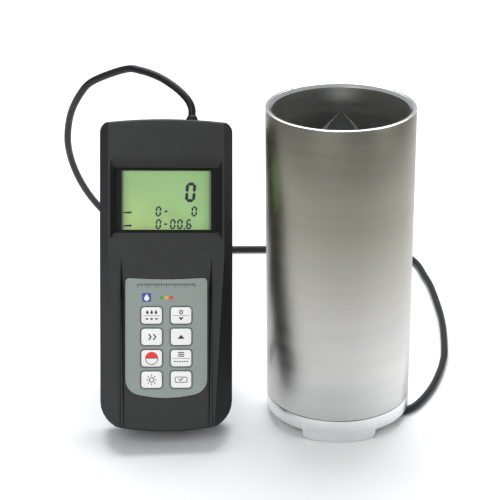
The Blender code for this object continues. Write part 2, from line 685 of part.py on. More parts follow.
def main():
    handset = bpy.data.objects.new("handset_axes", None)
    handset.rotation_mode = "YXZ"
    handset.rotation_euler = (math.radians(90 - METER_LEAN), math.radians(METER_TURN), 0)
    handset.location = Vector(METER_AT) * MM
    cup = bpy.data.objects.new("cup_axes", None)
    cup.location = (CUP_AT[0] * MM, CUP_AT[1] * MM, 0)
    for empty in (handset, cup):
        METER.objects.link(empty)

    case = make_material("case_black", (0.045, 0.048, 0.046), 0.5)
    black = make_material("black_plastic", (0.02, 0.02, 0.022), 0.45)
    rubber = make_material("black_rubber", (0.015, 0.015, 0.017), 0.6)
    clear = make_material("clear_window", (0.6, 0.65, 0.62), 0.05)
    glass = make_material("display_green", (0.33, 0.62, 0.26), 0.2)
    white = make_material("white_plastic", (0.85, 0.86, 0.85), 0.4)
    overlay = make_material("grey_overlay", (0.25, 0.29, 0.28), 0.5)
    board = make_material("board_green", (0.03, 0.2, 0.08), 0.5)
    steel = make_material("bright_steel", (0.6, 0.6, 0.6), 0.3, 1.0)
    wrap = make_material("battery_wrap", (0.1, 0.1, 0.12), 0.35)
    silver = make_material("satin_aluminium", (0.7, 0.7, 0.7), 0.35, 1.0)

    build_front_cover(case, handset)
    build_rear_cover(case, handset)
    build_display(handset, clear, black, glass, white)
    build_keypad(handset, overlay, white, rubber)
    build_board(handset, board, black, white)
    build_batteries(handset, wrap, steel)
    build_battery_door(handset, case)
    build_screws(handset, steel)
    build_grommet(handset, rubber)
    build_stand(handset, case, steel)
    build_cup(cup, silver, white, board, steel, black)
    build_cable(rubber)


for old in list(bpy.data.objects):
    bpy.data.objects.remove(old, do_unlink=True)
METER = new_collection("grain_moisture_meter")
CUTTERS = new_collection("cutters")
main()
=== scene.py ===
"""Looks of the grain moisture meter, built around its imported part.

The handset's pieces are drawn in the handset's own axes: X across, Y up its length and Z out of its face.
The cup's pieces are drawn about the cup's own axis, with Z up from the table. Both use millimetres, which
MM turns into Blender's metres.
"""

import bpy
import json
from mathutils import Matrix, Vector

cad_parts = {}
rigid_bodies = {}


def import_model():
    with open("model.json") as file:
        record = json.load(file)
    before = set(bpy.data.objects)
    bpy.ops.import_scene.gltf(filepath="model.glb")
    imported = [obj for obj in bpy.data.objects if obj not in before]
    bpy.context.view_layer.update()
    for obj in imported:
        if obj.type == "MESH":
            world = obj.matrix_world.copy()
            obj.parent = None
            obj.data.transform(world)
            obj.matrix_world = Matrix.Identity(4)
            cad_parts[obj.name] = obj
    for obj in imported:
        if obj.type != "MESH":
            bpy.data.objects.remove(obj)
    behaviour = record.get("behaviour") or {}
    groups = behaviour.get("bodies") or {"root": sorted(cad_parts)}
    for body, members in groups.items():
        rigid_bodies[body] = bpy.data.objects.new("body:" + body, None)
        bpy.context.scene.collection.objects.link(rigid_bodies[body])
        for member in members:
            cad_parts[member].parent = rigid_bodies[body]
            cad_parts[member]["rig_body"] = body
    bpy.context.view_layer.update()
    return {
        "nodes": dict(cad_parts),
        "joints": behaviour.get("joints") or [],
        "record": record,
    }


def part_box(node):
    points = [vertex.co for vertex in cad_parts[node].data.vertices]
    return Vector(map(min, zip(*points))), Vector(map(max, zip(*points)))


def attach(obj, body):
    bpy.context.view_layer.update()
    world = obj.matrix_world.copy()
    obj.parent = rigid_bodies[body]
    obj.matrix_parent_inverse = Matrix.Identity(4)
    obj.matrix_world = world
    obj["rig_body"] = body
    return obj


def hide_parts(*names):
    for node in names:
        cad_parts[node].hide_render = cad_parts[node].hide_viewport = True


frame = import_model()

import json
import math
import random

import bmesh
import bpy
from bpy.props import FloatProperty, FloatVectorProperty, IntProperty, PointerProperty
from mathutils import Matrix, Vector

bl_info = {
    "name": "Grain moisture meter",
    "version": (1, 0, 0),
    "blender": (4, 5, 0),
    "location": "View3D > Sidebar > Moisture meter",
    "description": "Builds the finished surfaces of a hand-held grain moisture meter and its sample cup",
    "category": "Object",
}

MM = 0.001

# ---- handset sizes, in its own axes
BACK_MARK = 115.0  # how far up the back the record's mount sits
FACE = 31.0  # the keypad's film, whose front the print lies on
LCD = (23.1, 104.0, 134.5)  # half-width, low and high edge of the green part of the display
LCD_FACE, LCD_GAP = 25.9, 0.01  # its front, and what keeps the figures clear of it
KEY_SIZE = (10.6, 8.45, 1.6)  # width, height, corner radius
KEY_COLUMNS = (-7.55, 7.55)
KEY_ROWS = (59.9, 48.9, 37.9, 26.9)
KEY_FOOT, KEY_FLANGE, KEY_TOP = 26.9, 27.5, 31.5
PRINT = 0.03  # thickness of printed ink
PRINT_GAP = 0.005  # keeps print clear of the surface it lies on
RULE_HALF = 4.3  # half-width of the line across a key's sign
SCALE_TICKS, SCALE_PITCH, SCALE_AT = 25, 1.22, 76.0  # the printed scale, and how far up the handset it is
BADGE_X, BADGE_Y = -10.1, 69.2  # middle of the drop badge
FACE_STEP = 7.0  # the size that the wide faces of the case are divided into
CUT_OFFSET = 0.37  # of a step; keeps the cuts off the case's own corners
EDGE_ANGLE = 28.0  # edges that turn by more than this are rounded
FLAT_ANGLE = 0.8  # edges that turn by less than this are taken out
WELD, CUT_WELD, SLIVER = 0.002, 0.01, 0.02  # points this close are made one
CELL_PITCH, CELL_Z = 10.8, 7.7
CELL_MIDDLE = 44.9  # of a cell's sleeve, up the handset
CELL_BLACK, CELL_SLEEVE = 11.5, 20.7  # half lengths of its black part and of the whole sleeve
STRIP = (20.8, 3.2, 12.6)  # a contact plate's half-width, back and front
SPRING_TURNS, SPRING_STEPS, SPRING_WIRE = 4.0, 72, 0.28
CHIPS = ((-6.0, 88.0, 12.0, 12.0), (10.0, 98.0, 6.0, 5.0), (-12.0, 124.0, 5.0, 6.0))  # middle and size
CHIP_PINS = 1.27  # between a chip's legs
SMALL_PARTS, PARTS_ACROSS, PARTS_UP = 34, (-22, 22), (80, 142)  # resistors and capacitors, and where they are
BOARD_BACK = 22.0
SCREW_EDGE = 0.12
SCREW_ROOM = (14.0, 86.0, 6.0)  # kept clear by the low case screws: how far across, middle, half height
CABLE_HOLE = (13.4, 15.0)  # across, and up from the back

# ---- cup sizes
LUG_HEIGHT = 4.85
LUGS = (-90.0, 35.0, 145.0)  # the direction of each lug
LUG_HALF = 30.0  # half the angle that a lug takes up
LUG_ROUND = 3.0  # radius of its lower corners
LUG_SIDE = 0.03  # angle that its upright side takes up
ROUND_STEPS = 192
TURNED_WELD = 0.001  # as WELD, for turned pieces
TURNED_SHARP = 24.0  # their edges that turn by more than this are sharp
PAINTED_SHADE_HEIGHTS = (30.0, 120.0)  # where the painted shade on the wall starts, and where it is full
WALL_R, BORE_R, RIM, WALL_FOOT = 38.1, 34.85, 171.9, 12.6
RING_BORE, RING_TOP = 32.6, 12.3

# ---- stage, in metres
CAMERA_AT, CAMERA_SHIFT = (0.018025, -0.784847, 0.43771), -0.08
LIGHT_POOL_MIDDLE, LIGHT_POOL_EDGE = (0.0, 0.5, 0.0), 0.3  # middle of the pool of light painted on the floor, and how softly it fades into painted shade
FLOOR_HALF, FLOOR_AT = 15.0, -0.0002
LIGHTS = (  # name, place, size, power, what it is aimed at
    ("top_softbox", (0.05, 0.62, 1.2), 1.1, 20.0, (0.0, 0.12, 0.0)),
    ("front_softbox", (-0.45, -1.25, 1.05), 0.9, 9.0, (-0.02, 0.0, 0.08)),
    ("right_softbox", (1.2, -0.45, 0.6), 0.7, 2.2, (0.02, 0.0, 0.08)),
)
SKY, SKY_STRENGTH = (0.93, 0.95, 1.0, 1.0), 0.4

# ---- cable, along the same route as its solid, in the part's own axes
CABLE_ROUTE = (
    (-33.35, 35.3, 154.7), (-33.5, 36.9, 158.4), (-35.4, 39.6, 161.8), (-39.3, 43.0, 165.2),
    (-44.4, 46.6, 168.2), (-51.5, 51.5, 171.0), (-61.0, 57.5, 172.5), (-70.4, 63.4, 171.4),
    (-89.2, 76.9, 160.7), (-97.5, 84.6, 151.1), (-105.1, 95.1, 135.8), (-109.4, 107.0, 117.3),
    (-109.9, 117.8, 101.1), (-107.6, 129.0, 84.5), (-103.6, 139.7, 69.7), (-98.2, 150.3, 56.0),
    (-91.2, 162.6, 41.5), (-82.0, 176.5, 26.5), (-70.0, 190.0, 13.8), (-55.0, 200.8, 5.8),
    (-38.0, 207.2, 2.8), (-20.2, 209.8, 2.2), (30.0, 210.3, 2.2), (58.0, 211.0, 2.2), (79.0, 208.6, 2.2),
    (92.5, 200.5, 2.2), (99.5, 187.5, 2.2), (103.2, 169.0, 2.2), (106.5, 147.5, 2.2), (109.0, 103.7, 2.2),
    (107.2, 64.4, 2.2), (104.6, 47.5, 2.2), (100.6, 31.5, 2.2), (95.2, 16.0, 2.2), (88.9, 3.2, 2.2),
    (83.8, -3.9, 2.2), (78.6, -7.2, 2.2), (73.0, -5.75, 2.2), (67.35, -4.4, 2.2),
)
CABLE_FINE = 8  # steps of the smooth curve between two points of the route


# ---------------------------------------------------------------- axes


def joint_axis(name):
    return Vector(next(joint for joint in frame["joints"] if joint["name"] == name)["axis"])


def handset_axes():
    """The handset's own axes, from the directions its keys and door move in and the mount on its back."""
    out = -joint_axis("key_1_press").normalized()
    up = out.cross(-joint_axis("battery_door_hinge")).normalized()
    across = up.cross(out)
    mark = next(mount for mount in frame["record"]["mounts"] if mount["name"] == "meter_back")
    turn = Matrix((across, up, out)).transposed().to_4x4()
    return Matrix.Translation(Vector(mark["pos_m"]) - up * BACK_MARK * MM) @ turn


def cup_axes():
    low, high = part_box("cup_wall")
    return Matrix.Translation(((low.x + high.x) / 2, (low.y + high.y) / 2, 0))


HANDSET = handset_axes()
CUP = cup_axes()


# ---------------------------------------------------------------- meshes


def to_mesh(name, bm):
    """A mesh in metres from a bmesh in millimetres."""
    bmesh.ops.scale(bm, verts=bm.verts, vec=(MM, MM, MM))
    mesh = bpy.data.meshes.new(name)
    bm.to_mesh(mesh)
    bm.free()
    return mesh


def linked(name, data):
    obj = bpy.data.objects.new(name, data)
    bpy.context.scene.collection.objects.link(obj)
    return obj


def put(name, bm, finishes, axes=HANDSET, body="meter", sharp=30.0, stands_for=()):
    """An object of the model: a form in one of the two sets of axes, riding on a body."""
    mesh = to_mesh(name, bm)
    if "custom_normal" in mesh.attributes:
        mesh.attributes.remove(mesh.attributes["custom_normal"])
    obj = linked(name, mesh)
    obj.matrix_world = axes
    for finish in finishes:
        mesh.materials.append(FINISHES[finish])
    mesh.shade_smooth()
    mesh.set_sharp_from_angle(angle=math.radians(sharp))
    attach(obj, body)
    if stands_for:
        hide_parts(*stands_for)
    return obj


def bevelled(obj, width, segments):
    """Rounds the edges of an object, as a mould or a deburring wheel leaves them."""
    modifier = obj.modifiers.new("soft_edges", "BEVEL")
    modifier.width = width * MM
    modifier.segments = segments
    modifier.limit_method = "ANGLE"
    modifier.angle_limit = math.radians(EDGE_ANGLE)
    modifier.harden_normals = True
    modifier.use_clamp_overlap = True
    return obj


def divided(bm, step):
    """Cuts a form every step millimetres across and along, so that its wide faces take even wear."""
    bmesh.ops.triangulate(bm, faces=[face for face in bm.faces if len(face.verts) > 4])
    for axis in (0, 1):
        places = [vert.co[axis] for vert in bm.verts]
        normal = [float(i == axis) for i in range(3)]
        low, high = math.ceil(min(places) / step), math.floor(max(places) / step)
        for k in range(low, high + 1):
            everything = bm.verts[:] + bm.edges[:] + bm.faces[:]
            at = [(k + CUT_OFFSET) * step * along for along in normal]
            bmesh.ops.bisect_plane(bm, geom=everything, dist=CUT_WELD, plane_co=at, plane_no=normal)
    bmesh.ops.dissolve_degenerate(bm, dist=SLIVER, edges=bm.edges)


def refined(node, finish, edge, segments=2, step=None, axes=HANDSET):
    """A CAD node's own form with its flat faces whole again and its edges rounded."""
    source = frame["nodes"][node]
    bm = bmesh.new()
    bm.from_mesh(source.data)
    bmesh.ops.transform(bm, verts=bm.verts, matrix=axes.inverted())
    bmesh.ops.scale(bm, verts=bm.verts, vec=(1 / MM,) * 3)
    bmesh.ops.remove_doubles(bm, verts=bm.verts, dist=WELD)
    bmesh.ops.dissolve_limit(bm, angle_limit=math.radians(FLAT_ANGLE), verts=bm.verts, edges=bm.edges)
    if step:
        divided(bm, step)
    bmesh.ops.recalc_face_normals(bm, faces=bm.faces)
    obj = put(f"{node}_finished", bm, [finish], axes, source["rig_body"], stands_for=[node])
    return bevelled(obj, edge, segments)


def round_box(x, y, width, height, radius, steps=6):
    """Points of a rectangle about (x, y) whose corners are arcs."""
    points = []
    for corner, (across, up) in enumerate(((-1, -1), (1, -1), (1, 1), (-1, 1))):
        middle = Vector((x + across * (width / 2 - radius), y + up * (height / 2 - radius)))
        for step in range(steps + 1):
            turn = math.pi * (1 + corner / 2 + step / steps / 2)
            points.append(middle + Vector((math.cos(turn), math.sin(turn))) * radius)
    return points


def circle(x, y, radius, steps, start=0.0, sweep=360.0):
    """Points of a circle about (x, y), or of an arc of it."""
    count = steps if sweep == 360.0 else steps + 1
    angles = [math.radians(start + sweep * k / steps) for k in range(count)]
    return [Vector((x + radius * math.cos(a), y + radius * math.sin(a))) for a in angles]


def add_prism(bm, points, low, high, slot=0):
    """A flat outline raised from one height to another."""
    rings = [[bm.verts.new((p[0], p[1], z)) for p in points] for z in (low, high)]
    faces = [bm.faces.new(rings[0][::-1]), bm.faces.new(rings[1])]
    for i in range(len(points)):
        faces.append(bm.faces.new((rings[0][i - 1], rings[0][i], rings[1][i], rings[1][i - 1])))
    for face in faces:
        face.material_index = slot


def add_ring(bm, outer, inner, low, high, slot=0):
    """A flat band between two outlines with the same number of points."""
    rings = [[bm.verts.new((p[0], p[1], z)) for p in points] for points, z in
             ((outer, low), (outer, high), (inner, high), (inner, low))]
    for a, b in zip(rings, rings[1:] + rings[:1]):
        for i in range(len(outer)):
            bm.faces.new((a[i - 1], a[i], b[i], b[i - 1])).material_index = slot


def add_loft(bm, rings):
    """A closed form through rings of points that have the same count."""
    loops = [[bm.verts.new(p) for p in ring] for ring in rings]
    bm.faces.new(loops[0][::-1])
    bm.faces.new(loops[-1])
    for a, b in zip(loops, loops[1:]):
        for i in range(len(a)):
            bm.faces.new((a[i - 1], a[i], b[i], b[i - 1]))


def add_lathe(bm, profile, steps=ROUND_STEPS, slot=0):
    """A form turned about Z from a profile of (radius, height); a radius of 0 closes it on the axis."""
    rings = []
    for radius, z in profile:
        angles = [2 * math.pi * k / steps for k in range(steps if radius else 1)]
        rings.append([bm.verts.new((radius * math.cos(a), radius * math.sin(a), z)) for a in angles])
    for a, b in zip(rings, rings[1:]):
        for i in range(steps):
            first = [a[i - 1], a[i]] if len(a) > 1 else a
            second = [b[i], b[i - 1]] if len(b) > 1 else b
            bm.faces.new(first + second).material_index = slot


def add_box(bm, low, high, slot=0):
    outline = [(low[0], low[1]), (high[0], low[1]), (high[0], high[1]), (low[0], high[1])]
    add_prism(bm, outline, low[2], high[2], slot)


def add_tube(bm, points, radius, sides):
    """A round wire through points in space."""
    points = [Vector(p) for p in points]
    rings, across = [], Vector((0, 0, 1))
    for i, here in enumerate(points):
        ahead = (points[min(i + 1, len(points) - 1)] - points[max(i - 1, 0)]).normalized()
        side = (across - ahead * across.dot(ahead)).normalized()
        if i == 0 and abs(ahead.z) > 0.9:
            side = (Vector((1, 0, 0)) - ahead * ahead.x).normalized()
        other = ahead.cross(side)
        across = side
        turns = [2 * math.pi * k / sides for k in range(sides)]
        rings.append([here + (side * math.cos(t) + other * math.sin(t)) * radius for t in turns])
    add_loft(bm, rings)


# ---------------------------------------------------------------- finishes


class Nodes:
    """A node tree with short calls to add nodes, set their sockets and link them."""

    def __init__(self, tree):
        self.tree = tree

    def add(self, kind, inputs=None, **settings):
        node = self.tree.nodes.new(kind)
        for name, value in settings.items():
            setattr(node, name, value)
        for name, value in (inputs or {}).items():
            self.feed(value, node.inputs[name])
        return node

    def feed(self, value, socket):
        if isinstance(value, bpy.types.NodeSocket):
            self.tree.links.new(value, socket)
        else:
            socket.default_value = value

    def maths(self, operation, a, b=0.0, clamp=False):
        return self.add("ShaderNodeMath", {0: a, 1: b}, operation=operation, use_clamp=clamp).outputs[0]

    def blend(self, factor, a, b, how="MIX"):
        node = self.add("ShaderNodeMix", {0: factor, 6: a, 7: b}, data_type="RGBA", blend_type=how)
        return node.outputs[2]

    def place(self):
        return self.add("ShaderNodeTexCoord").outputs["Object"]

    def parts(self, vector):
        return self.add("ShaderNodeSeparateXYZ", {"Vector": vector}).outputs

    def spread(self, value, low, high, to_low=0.0, to_high=1.0):
        return self.add("ShaderNodeMapRange", {
            "Value": value, "From Min": low, "From Max": high, "To Min": to_low, "To Max": to_high,
        }).outputs[0]

    def noise(self, vector, scale, detail, roughness=0.5):
        return self.add("ShaderNodeTexNoise", {
            "Vector": vector, "Scale": scale, "Detail": detail, "Roughness": roughness,
        }).outputs["Fac"]


def effect(name, inputs, outputs):
    """An empty shader node group with float inputs (name: default) and named outputs; its nodes and ends."""
    group = bpy.data.node_groups.new(name, "ShaderNodeTree")
    for label, default in inputs.items():
        socket = group.interface.new_socket(label, in_out="INPUT", socket_type="NodeSocketFloat")
        socket.default_value = default
    for label in outputs:
        group.interface.new_socket(label, in_out="OUTPUT", socket_type="NodeSocketFloat")
    return Nodes(group), group.nodes.new("NodeGroupInput").outputs, group.nodes.new("NodeGroupOutput").inputs


def moulded_grain():
    """The fine spark-eroded texture of a moulding, and its broad cloudiness."""
    nodes, given, out = effect("Moulded grain", {"Grain": 2200.0}, ["Height", "Cloud"])
    place = nodes.place()
    fine = nodes.noise(place, given["Grain"], 3.0, 0.6)
    pits = nodes.add("ShaderNodeTexVoronoi", {"Vector": place, "Scale": given["Grain"]}).outputs["Distance"]
    height = nodes.maths("ADD", fine, nodes.maths("MULTIPLY", pits, 0.45))
    nodes.feed(height, out["Height"])
    nodes.feed(nodes.noise(place, 55.0, 4.0, 0.6), out["Cloud"])


def edge_wear():
    """Where handling has polished the raised edges, broken up by small scuffs."""
    nodes, given, out = effect("Edge wear", {"Start": 0.545}, ["Wear"])
    point = nodes.add("ShaderNodeNewGeometry").outputs["Pointiness"]
    raised = nodes.spread(point, given["Start"], 0.64)
    broken = nodes.spread(nodes.noise(nodes.place(), 420.0, 4.0, 0.7), 0.35, 0.65)
    nodes.feed(nodes.maths("MULTIPLY", raised, broken, clamp=True), out["Wear"])


def handling_marks():
    """Smudges left by fingers, which change only the gloss."""
    nodes, given, out = effect("Handling marks", {"Size": 60.0}, ["Smudge"])
    wide = nodes.noise(nodes.place(), given["Size"], 5.0, 0.65)
    nodes.feed(nodes.spread(wide, 0.38, 0.66), out["Smudge"])


def turned_lines():
    """The fine rings a lathe leaves around Z, with the slower bands between passes."""
    nodes, given, out = effect("Turned lines", {"Pitch": 3200.0}, ["Height", "Band"])
    parts = nodes.parts(nodes.place())
    around = nodes.maths("ARCTAN2", parts["Y"], parts["X"])

    def rings(along, apart, pitch, detail, roughness):
        round_axis = nodes.maths("MULTIPLY", around, along)
        height = nodes.maths("MULTIPLY", parts["Z"], pitch)
        at = nodes.add("ShaderNodeCombineXYZ", {"X": round_axis, "Y": apart, "Z": height}).outputs[0]
        return nodes.noise(at, 1.0, detail, roughness)

    nodes.feed(rings(0.9, 0.0, given["Pitch"], 3.0, 0.7), out["Height"])
    nodes.feed(rings(0.35, 3.0, 160.0, 4.0, 0.6), out["Band"])


class Finish(Nodes):
    """A material: its Principled shader, its colour, and the groups placed in it."""

    def __init__(self, name, colour, roughness, metallic=0.0, **fixed):
        self.material = bpy.data.materials.new(name)
        self.material.use_nodes = True
        super().__init__(self.material.node_tree)
        self.shader = self.tree.nodes["Principled BSDF"]
        self.colour = (*colour, 1.0)
        self.give("Base Color", self.colour)
        self.give("Roughness", roughness)
        self.give("Metallic", metallic)
        for label, value in fixed.items():
            self.give(label.replace("_", " ").title().replace("Ior", "IOR"), value)

    def give(self, label, value):
        self.feed(value, self.shader.inputs[label])

    def use(self, group, **values):
        node = self.add("ShaderNodeGroup", node_tree=bpy.data.node_groups[group])
        for label, value in values.items():
            node.inputs[label].default_value = value
        return node.outputs

    def bump(self, height, strength, distance):
        self.give("Normal", self.add("ShaderNodeBump", {
            "Height": height, "Strength": strength, "Distance": distance * MM,
        }).outputs[0])

    def mottled(self, grained, dark, light):
        """A colour that drifts between two shades of the finish's own."""
        cloud = self.spread(grained["Cloud"], 0.3, 0.7)
        return self.blend(cloud, shade(self.colour, dark), shade(self.colour, light))


def shade(colour, by):
    return (*(min(1.0, channel * by) for channel in colour[:3]), 1.0)


def moulded_plastic(name, colour, roughness, grain=2200.0, depth=0.03, bump=0.35, worn=1.6, **fixed):
    """Moulded plastic: grain in its surface, cloudy colour, polished edges and smudged gloss."""
    finish = Finish(name, colour, roughness, **fixed)
    grained = finish.use("Moulded grain", Grain=grain)
    wear = finish.use("Edge wear")["Wear"]
    smudge = finish.use("Handling marks")["Smudge"]
    cloudy = finish.mottled(grained, 0.86, 1.14)
    speckled = finish.blend(finish.spread(grained["Height"], 0.35, 0.85), cloudy, shade(colour, 1.32))
    rubbed = finish.maths("MULTIPLY", wear, 0.6)
    finish.give("Base Color", finish.blend(rubbed, speckled, shade(colour, worn)))
    gloss = finish.spread(smudge, 0.0, 1.0, roughness - 0.05, roughness + 0.06)
    finish.give("Roughness", finish.maths("SUBTRACT", gloss, finish.maths("MULTIPLY", wear, 0.12)))
    finish.bump(grained["Height"], bump, depth)
    return finish.material


def turned_metal(name, colour, roughness, pitch=3200.0, depth=0.004, painted_shade=None):
    """Turned or brushed metal with lathe rings; an optional painted shade darkens and warms it towards its
    upper end, standing in for the dimmer, warmer surroundings that the wall reflects there.
    """
    finish = Finish(name, colour, roughness, 1.0)
    turned = finish.use("Turned lines", Pitch=pitch)
    smudge = finish.use("Handling marks", Size=38.0)["Smudge"]
    banded = finish.blend(finish.spread(turned["Band"], 0.3, 0.7), shade(colour, 0.93), shade(colour, 1.05))
    fine = finish.blend(finish.spread(turned["Height"], 0.25, 0.75, 0.0, 0.5), banded, shade(colour, 0.82))
    # painted shade: the colour itself, not the lights, darkens and warms the wall between the two
    # painted-shade heights
    if painted_shade:
        parts = finish.parts(finish.place())
        low, high = PAINTED_SHADE_HEIGHTS
        fine = finish.blend(finish.spread(parts["Z"], low * MM, high * MM), fine, (*painted_shade, 1.0), "MULTIPLY")
    finish.give("Base Color", fine)
    rough = finish.spread(turned["Band"], 0.3, 0.7, roughness - 0.04, roughness + 0.05)
    finish.give("Roughness", finish.maths("ADD", rough, finish.maths("MULTIPLY", smudge, 0.035)))
    finish.bump(turned["Height"], 0.35, depth)
    return finish.material


def printed_ink(name, colour, roughness=0.42):
    """Screen-printed ink, a little uneven where the screen left it thin; the same finish also serves for the
    painted shadow round each key.
    """
    finish = Finish(name, colour, roughness)
    grained = finish.use("Moulded grain", Grain=1500.0)
    uneven = finish.spread(grained["Height"], 0.3, 0.9)
    finish.give("Base Color", finish.blend(uneven, finish.colour, shade(colour, 1.25)))
    finish.bump(grained["Height"], 0.15, 0.01)
    return finish.material


# Inks by name; the grey entry is no ink but the painted shadow round each key.
INKS = {
    "ink_dark": (0.022, 0.024, 0.028), "painted_key_shadow": (0.11, 0.125, 0.125), "ink_green": (0.12, 0.30, 0.045),
    "ink_red": (0.72, 0.035, 0.03), "ink_amber": (0.62, 0.42, 0.05), "ink_blue": (0.035, 0.075, 0.30),
    "ink_white": (0.85, 0.87, 0.87),
}


def display_green(name, colour, glow):
    """The lit liquid crystal cell: yellower towards its lower left, and dim at its left and right edges."""
    finish = Finish(name, colour, 0.35, specular_ior_level=0.3)
    parts = finish.parts(finish.place())
    half, low, high = LCD
    across = finish.spread(parts["X"], -half * MM, half * MM)
    up = finish.spread(parts["Y"], low * MM, high * MM)
    left, lower = finish.spread(across, 0.95, 0.1), finish.spread(up, 1.0, 0.15)
    yellow = finish.maths("MULTIPLY", left, lower, clamp=True)
    warm = finish.blend(yellow, (*colour, 1.0), (colour[0] * 1.22, colour[1] * 1.04, colour[2] * 0.92, 1.0))
    rim_x = finish.maths("ABSOLUTE", finish.maths("SUBTRACT", across, 0.5))
    rim = finish.spread(rim_x, 0.40, 0.5, 1.0, 0.72)
    uneven = finish.spread(finish.noise(finish.place(), 75.0, 3.0, 0.5), 0.3, 0.7, 0.94, 1.05)
    level = finish.maths("MULTIPLY", rim, uneven)
    grey = finish.add("ShaderNodeCombineColor", {"Red": level, "Green": level, "Blue": level}).outputs[0]
    lit = finish.blend(1.0, warm, grey, "MULTIPLY")
    finish.give("Base Color", lit)
    finish.give("Emission Color", lit)
    finish.give("Emission Strength", glow)
    return finish.material


def make_finishes(case, keypad, display, cup, cable):
    """Every material of the model, by name."""
    for build in (moulded_grain, edge_wear, handling_marks, turned_lines):
        build()
    made = {
        "case": case_plastic("case_plastic", case.colour, case.side_colour),
        "door": moulded_plastic("door_plastic", case.side_colour, 0.5, specular_ior_level=0.22),
        "film": moulded_plastic("keypad_film", keypad.film_colour, 0.42, 2600.0, 0.012, 0.3, 1.15),
        "key": moulded_plastic("key_plastic", keypad.key_colour, 0.38, 3000.0, 0.006, 0.2, 1.05),
        **{ink: printed_ink(ink, colour) for ink, colour in INKS.items()},
        "lcd": display_green("display_green", display.green, display.glow),
        "lcd_dark": printed_ink("display_segments", (0.012, 0.016, 0.055), 0.3),
        "lcd_edge": printed_ink("display_edge", (0.16, 0.24, 0.13), 0.4),
        "bezel": moulded_plastic(
            "bezel_black", (0.005, 0.006, 0.0055), 0.4, 1800.0, 0.006, 0.15, 1.4, specular_ior_level=0.15,
        ),
        "window": window_plastic("window_clear"),
        "rubber": moulded_plastic("rubber_black", (0.014, 0.014, 0.015), 0.55, 1600.0, 0.02, 0.3, 1.5),
        "cable": cable_jacket("cable_jacket", cable.colour),
        "board": board_green("board_green"),
        "chip": moulded_plastic("chip_black", (0.018, 0.018, 0.02), 0.45, 2600.0, 0.01, 0.3, 1.5),
        "cream": moulded_plastic("connector_cream", (0.70, 0.66, 0.52), 0.4, 1800.0, 0.012, 0.25, 1.1),
        "lens": moulded_plastic("light_guide", (0.78, 0.80, 0.74), 0.3, 1200.0, 0.008, 0.2, 1.05),
        "insulator": turned_plastic("insulator_white", (0.74, 0.73, 0.69)),
        "steel": turned_metal("steel_bright", (0.62, 0.62, 0.61), 0.26, 2600.0),
        "nickel": turned_metal("nickel_strip", (0.66, 0.64, 0.58), 0.3, 1800.0),
        # the cup's wall carries painted shade towards its rim
        "aluminium": turned_metal("aluminium_wall", cup.colour, cup.roughness, painted_shade=cup.rim_painted_shade),
        "aluminium_inside": turned_metal("aluminium_bore", cup.bore_colour, 0.3, 2600.0),
        "aluminium_cut": turned_metal("aluminium_cut", (0.90, 0.90, 0.89), 0.2, 4200.0, 0.003),
        "aluminium_base": turned_metal("aluminium_base", (0.86, 0.86, 0.87), 0.27, 3600.0),
        "electrode": turned_metal("electrode_metal", (0.09, 0.09, 0.087), 0.2, 5200.0),
        "cell_wrap": battery_wrap("battery_wrap"),
    }
    return made


def case_plastic(name, colour, side_colour):
    """The case: textured grey-black on its face, darker, bluer and smoother where it slopes away."""
    finish = Finish(name, colour, 0.46, specular_ior_level=0.22)
    grained = finish.use("Moulded grain", Grain=1900.0)
    wear = finish.use("Edge wear")["Wear"]
    smudge = finish.use("Handling marks")["Smudge"]
    facing = finish.parts(finish.add("ShaderNodeTexCoord").outputs["Normal"])["Z"]
    face = finish.spread(facing, 0.75, 0.97)
    cloudy = finish.mottled(grained, 0.85, 1.16)
    grain = finish.spread(grained["Height"], 0.35, 0.85)
    flat = finish.blend(grain, cloudy, shade(colour, 1.45))
    side = finish.blend(grain, shade(side_colour, 0.92), shade(side_colour, 1.2))
    plain = finish.blend(face, side, flat)
    finish.give("Base Color", finish.blend(finish.maths("MULTIPLY", wear, 0.55), plain, shade(colour, 2.0)))
    gloss = finish.spread(face, 0.0, 1.0, 0.38, 0.5)
    smudged = finish.maths("ADD", gloss, finish.maths("MULTIPLY", smudge, 0.05))
    finish.give("Roughness", finish.maths("SUBTRACT", smudged, finish.maths("MULTIPLY", wear, 0.12)))
    finish.bump(grained["Height"], 0.4, 0.035)
    return finish.material


def window_plastic(name):
    """The clear window, a thin acrylic sheet with faint smudges."""
    finish = Finish(name, (0.03, 0.035, 0.032), 0.08, alpha=0.05, ior=1.49)
    smudge = finish.use("Handling marks", Size=90.0)["Smudge"]
    finish.give("Roughness", finish.spread(smudge, 0.0, 1.0, 0.05, 0.12))
    return finish.material


def cable_jacket(name, colour):
    """The soft vinyl jacket of the cable, faintly matt and finely grained."""
    finish = Finish(name, colour, 0.42, specular_ior_level=0.25)
    grained = finish.use("Moulded grain", Grain=900.0)
    smudge = finish.use("Handling marks", Size=45.0)["Smudge"]
    finish.give("Base Color", finish.mottled(grained, 0.8, 1.35))
    finish.give("Roughness", finish.spread(smudge, 0.0, 1.0, 0.34, 0.5))
    finish.bump(grained["Height"], 0.2, 0.03)
    return finish.material


def board_green(name):
    """A printed circuit board: green mask over lighter tracks."""
    colour = (0.015, 0.13, 0.055)
    finish = Finish(name, colour, 0.32)
    grained = finish.use("Moulded grain", Grain=1400.0)
    black, white = (0.0, 0.0, 0.0, 1.0), (1.0, 1.0, 1.0, 1.0)
    net = finish.add("ShaderNodeTexBrick", {
        "Vector": finish.place(), "Scale": 240.0, "Mortar Size": 0.012, "Color1": black, "Color2": black,
        "Mortar": white, "Brick Width": 1.3, "Row Height": 0.55,
    }, offset=0.37).outputs["Color"]
    patches = finish.spread(finish.noise(finish.place(), 60.0, 2.0), 0.45, 0.5)
    tracks = finish.maths("MULTIPLY", net, patches)
    base = finish.mottled(grained, 0.8, 1.2)
    finish.give("Base Color", finish.blend(tracks, base, shade(colour, 2.6)))
    finish.bump(finish.maths("ADD", tracks, finish.maths("MULTIPLY", grained["Height"], 0.1)), 0.4, 0.03)
    return finish.material


